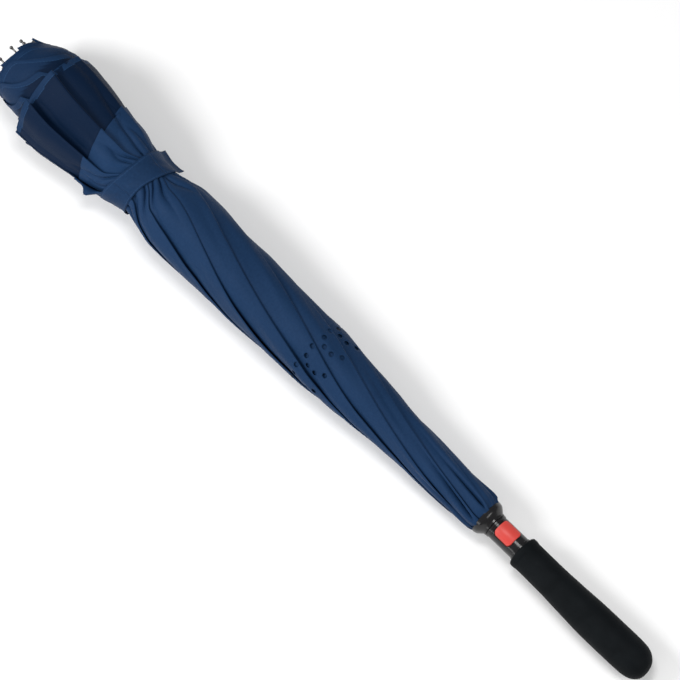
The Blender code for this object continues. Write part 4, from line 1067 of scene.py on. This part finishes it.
def makeCrown(index):
    shares = np.linspace(0, 1, 2 * crown["pleats"] + 1)
    notch = np.array([crown["notchCircle"], crown["notchStation"]])
    joint = np.array([tips["circle"] + crown["joint"] * math.sin(tips["splay"]), ribRoot + crown["joint"]])
    down = np.linspace(0, 1, crown["rows"])[:, None]
    line = notch + (joint - notch) * down
    start = canopy["ribTurn"] + 45 * index
    angles = np.radians(start + crown["clear"] + (45 - 2 * crown["clear"]) * shares)
    side = np.where(np.arange(len(shares)) % 2, 0.5, -0.5)
    side[[0, -1]] = 0
    radius = np.maximum(line[:, :1] + side * crown["height"] * down, crown["least"])
    station = np.broadcast_to(line[:, 1:], radius.shape)
    grid = np.stack([radius * np.cos(angles), radius * np.sin(angles), station], axis=-1)
    across = np.tile(shares, crown["rows"])
    obj = sheetPiece(f"crownGore_{index + 1}", grid.reshape(-1, 3), gridQuads(*grid.shape[:2]),
                     runAcross(grid), np.full(len(across), 0.1), canopyNavy, crown["thickness"])
    low, high = umbrellaFrame @ Vector((0, 0, 0.5)), umbrellaFrame @ Vector((0, 0, 0.7))
    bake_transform(obj, f"stretcher_{index + 1}", f"crown_{index + 1}", start=low, end=high)
    setWeights(obj, spread(obj, across))
    takeOver(f"crown_gore_{index + 1}")


for index in range(ribCount):
    makeCrown(index)
print("crown gores made")

# strap
strap = {
    "station": 0.6465, "slant": 0.0045, "width": 0.0262, "thickness": 0.0008, "inner": 0.0297,
    "lift": 0.0011, "climb": 0.0006, "start": 118.0, "turn": 317.0, "tail": 0.016, "tailTurn": 60,
    "curl": 0.0040, "pieces": 4, "perPiece": 30, "columns": 13,
    # it sags between folds, in two waves, and is pinched where it is drawn tight
    "sag": (0.00045, 0.0003), "pinch": 0.20, "pinchAt": 225, "pinchWidth": 38,
}


def strapPoint(along, across):  # along: degrees wound, or more for the loose end; across: -0.5 to 0.5
    wound = np.minimum(along, strap["turn"])
    loose = np.clip(along - strap["turn"], 0, None) / strap["tailTurn"] * strap["tail"]
    turn = np.radians(strap["start"] + wound)
    sag = strap["sag"][0] * np.sin(np.radians(wound * 3.1) + 5 * across)
    sag = sag + strap["sag"][1] * np.sin(np.radians(wound * 7) + 9 * across)
    pinch = 1 - strap["pinch"] * np.exp(-((wound - strap["pinchAt"]) / strap["pinchWidth"]) ** 2)
    station = strap["station"] - strap["slant"] * np.sin(turn) + across * strap["width"] * pinch
    radius = lookUp(outlineTable, station) + strap["lift"] + np.abs(sag)
    radius = radius + strap["climb"] * wound / strap["turn"] + strap["curl"] * (loose / strap["tail"]) ** 2
    x = radius * np.cos(turn) - np.sin(turn) * loose
    y = radius * np.sin(turn) + np.cos(turn) * loose
    return np.stack([x, y, station], axis=-1)


def makeStrap():
    piece, last = strap["turn"] / strap["pieces"], strap["pieces"]
    edges = [0] + [piece * (k + 0.5) for k in range(last)] + [strap["turn"] + strap["tailTurn"]]
    across = np.linspace(-0.5, 0.5, strap["columns"])
    carriers = ["rib_3", "strap_1", "strap_2", "strap_3", "strap_4"]
    for k, (low, high) in enumerate(zip(edges, edges[1:])):
        along = np.linspace(low, high, strap["perPiece"])
        grid = strapPoint(*np.meshgrid(along, across, indexing="ij"))
        run = np.repeat(np.radians(along) * strap["inner"], len(across))
        gap = np.tile(strap["width"] * (0.5 - np.abs(across)), len(along))
        obj = sheetPiece(f"tieStrap_{k + 1}", grid.reshape(-1, 3), gridQuads(*grid.shape[:2]), run, gap,
                         strapNavy, strap["thickness"])
        if k < last:
            middle = 0.5 if k else 0.0
            share = np.clip((along - k * piece) / (0.5 * piece) + middle, 0, 1)
            first, end = (umbrellaFrame @ Vector(strapPoint(np.array([edge]), np.array([0.0]))[0])
                          for edge in (low, high))
            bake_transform(obj, carriers[k], carriers[k + 1], start=first, end=end)
            setWeights(obj, spread(obj, np.repeat(share, len(across))))
            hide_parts(f"strap_{k + 1}")
        else:
            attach(obj, "strap_4")


makeStrap()
print("strap made")

# floor, light and camera
stage = {"floor": (0.95, 0.95, 0.95), "world": 0.33, "key": 22.5, "side": 5.0, "fill": 8.0, "top": 11.0}


def makeStage():
    deselect()
    bpy.ops.mesh.primitive_plane_add(size=14, location=(0, 0, -0.0002))
    floor = bpy.context.object
    floor.name = "paleFloor"
    made, tree, shader = newMaterial("paleFloor", {"Roughness": 0.75, "Specular IOR Level": 0.2})
    place = addNode(tree, "ShaderNodeTexCoord").outputs["Object"]
    low = tuple(0.98 * c for c in stage["floor"])
    patches = mixColour(tree, noise(tree, place, 2.0, 3.0), stage["floor"], low)
    tree.links.new(patches, shader.inputs["Base Color"])
    floor.data.materials.append(made)
    world = bpy.data.worlds.new("studio")
    bpy.context.scene.world = world
    world.use_nodes = True
    sky = world.node_tree.nodes["Background"]
    sky.inputs["Color"].default_value = (1, 1, 1, 1)
    sky.inputs["Strength"].default_value = stage["world"]
    bpy.context.scene.view_settings.view_transform = "Standard"


def addLamp(name, place, aim, size, power):
    data = bpy.data.lights.new(name, "AREA")
    data.shape = "RECTANGLE"
    data.size, data.size_y = size
    data.energy = power
    lamp = placed(name, data)
    lamp.location = place
    lamp.rotation_mode = "QUATERNION"
    lamp.rotation_quaternion = (Vector(aim) - Vector(place)).to_track_quat("-Z", "Y")


view = {"tilt": math.radians(11), "round": math.radians(-13.5), "slope": math.radians(43.97),
        "lens": 600, "sensor": 36, "field": 0.6145, "station": 0.4138, "beside": 0.0231}


def makeCamera():
    front = topWay * math.cos(view["round"]) + sideWay * math.sin(view["round"])
    back = front * math.cos(view["tilt"]) - shaftWay * math.sin(view["tilt"])
    tipsWay = shaftWay * math.cos(view["tilt"]) + front * math.sin(view["tilt"])
    crossWay = back.cross(-tipsWay)
    right = -tipsWay * math.cos(view["slope"]) + crossWay * math.sin(view["slope"])
    up = tipsWay * math.sin(view["slope"]) + crossWay * math.cos(view["slope"])
    data = bpy.data.cameras.new("camera")
    data.lens = view["lens"]
    data.sensor_width = view["sensor"]
    camera = placed("camera", data)
    aim = umbrellaFrame @ Vector((0, 0, view["station"])) + crossWay * view["beside"]
    camera.rotation_mode = "QUATERNION"
    camera.rotation_quaternion = Matrix((right, up, back)).transposed().to_quaternion()
    camera.location = aim + back * (view["field"] * view["lens"] / view["sensor"])
    data.clip_start, data.clip_end = 0.01, 50
    bpy.context.scene.camera = camera


makeStage()
addLamp("key", (-0.9, -1.05, 1.25), (0, 0, 0), (0.6, 0.6), stage["key"])
addLamp("side", (0.0, -1.3, 0.35), (0, 0, 0.04), (1.6, 0.25), stage["side"])
addLamp("fill", (1.3, 0.20, 1.05), (0.2, 0, 0), (0.9, 0.6), stage["fill"])
addLamp("top", (-0.12, 0.12, 1.9), (0.1, 0, 0), (0.7, 0.4), stage["top"])
makeCamera()
print("floor, lights and camera placed")
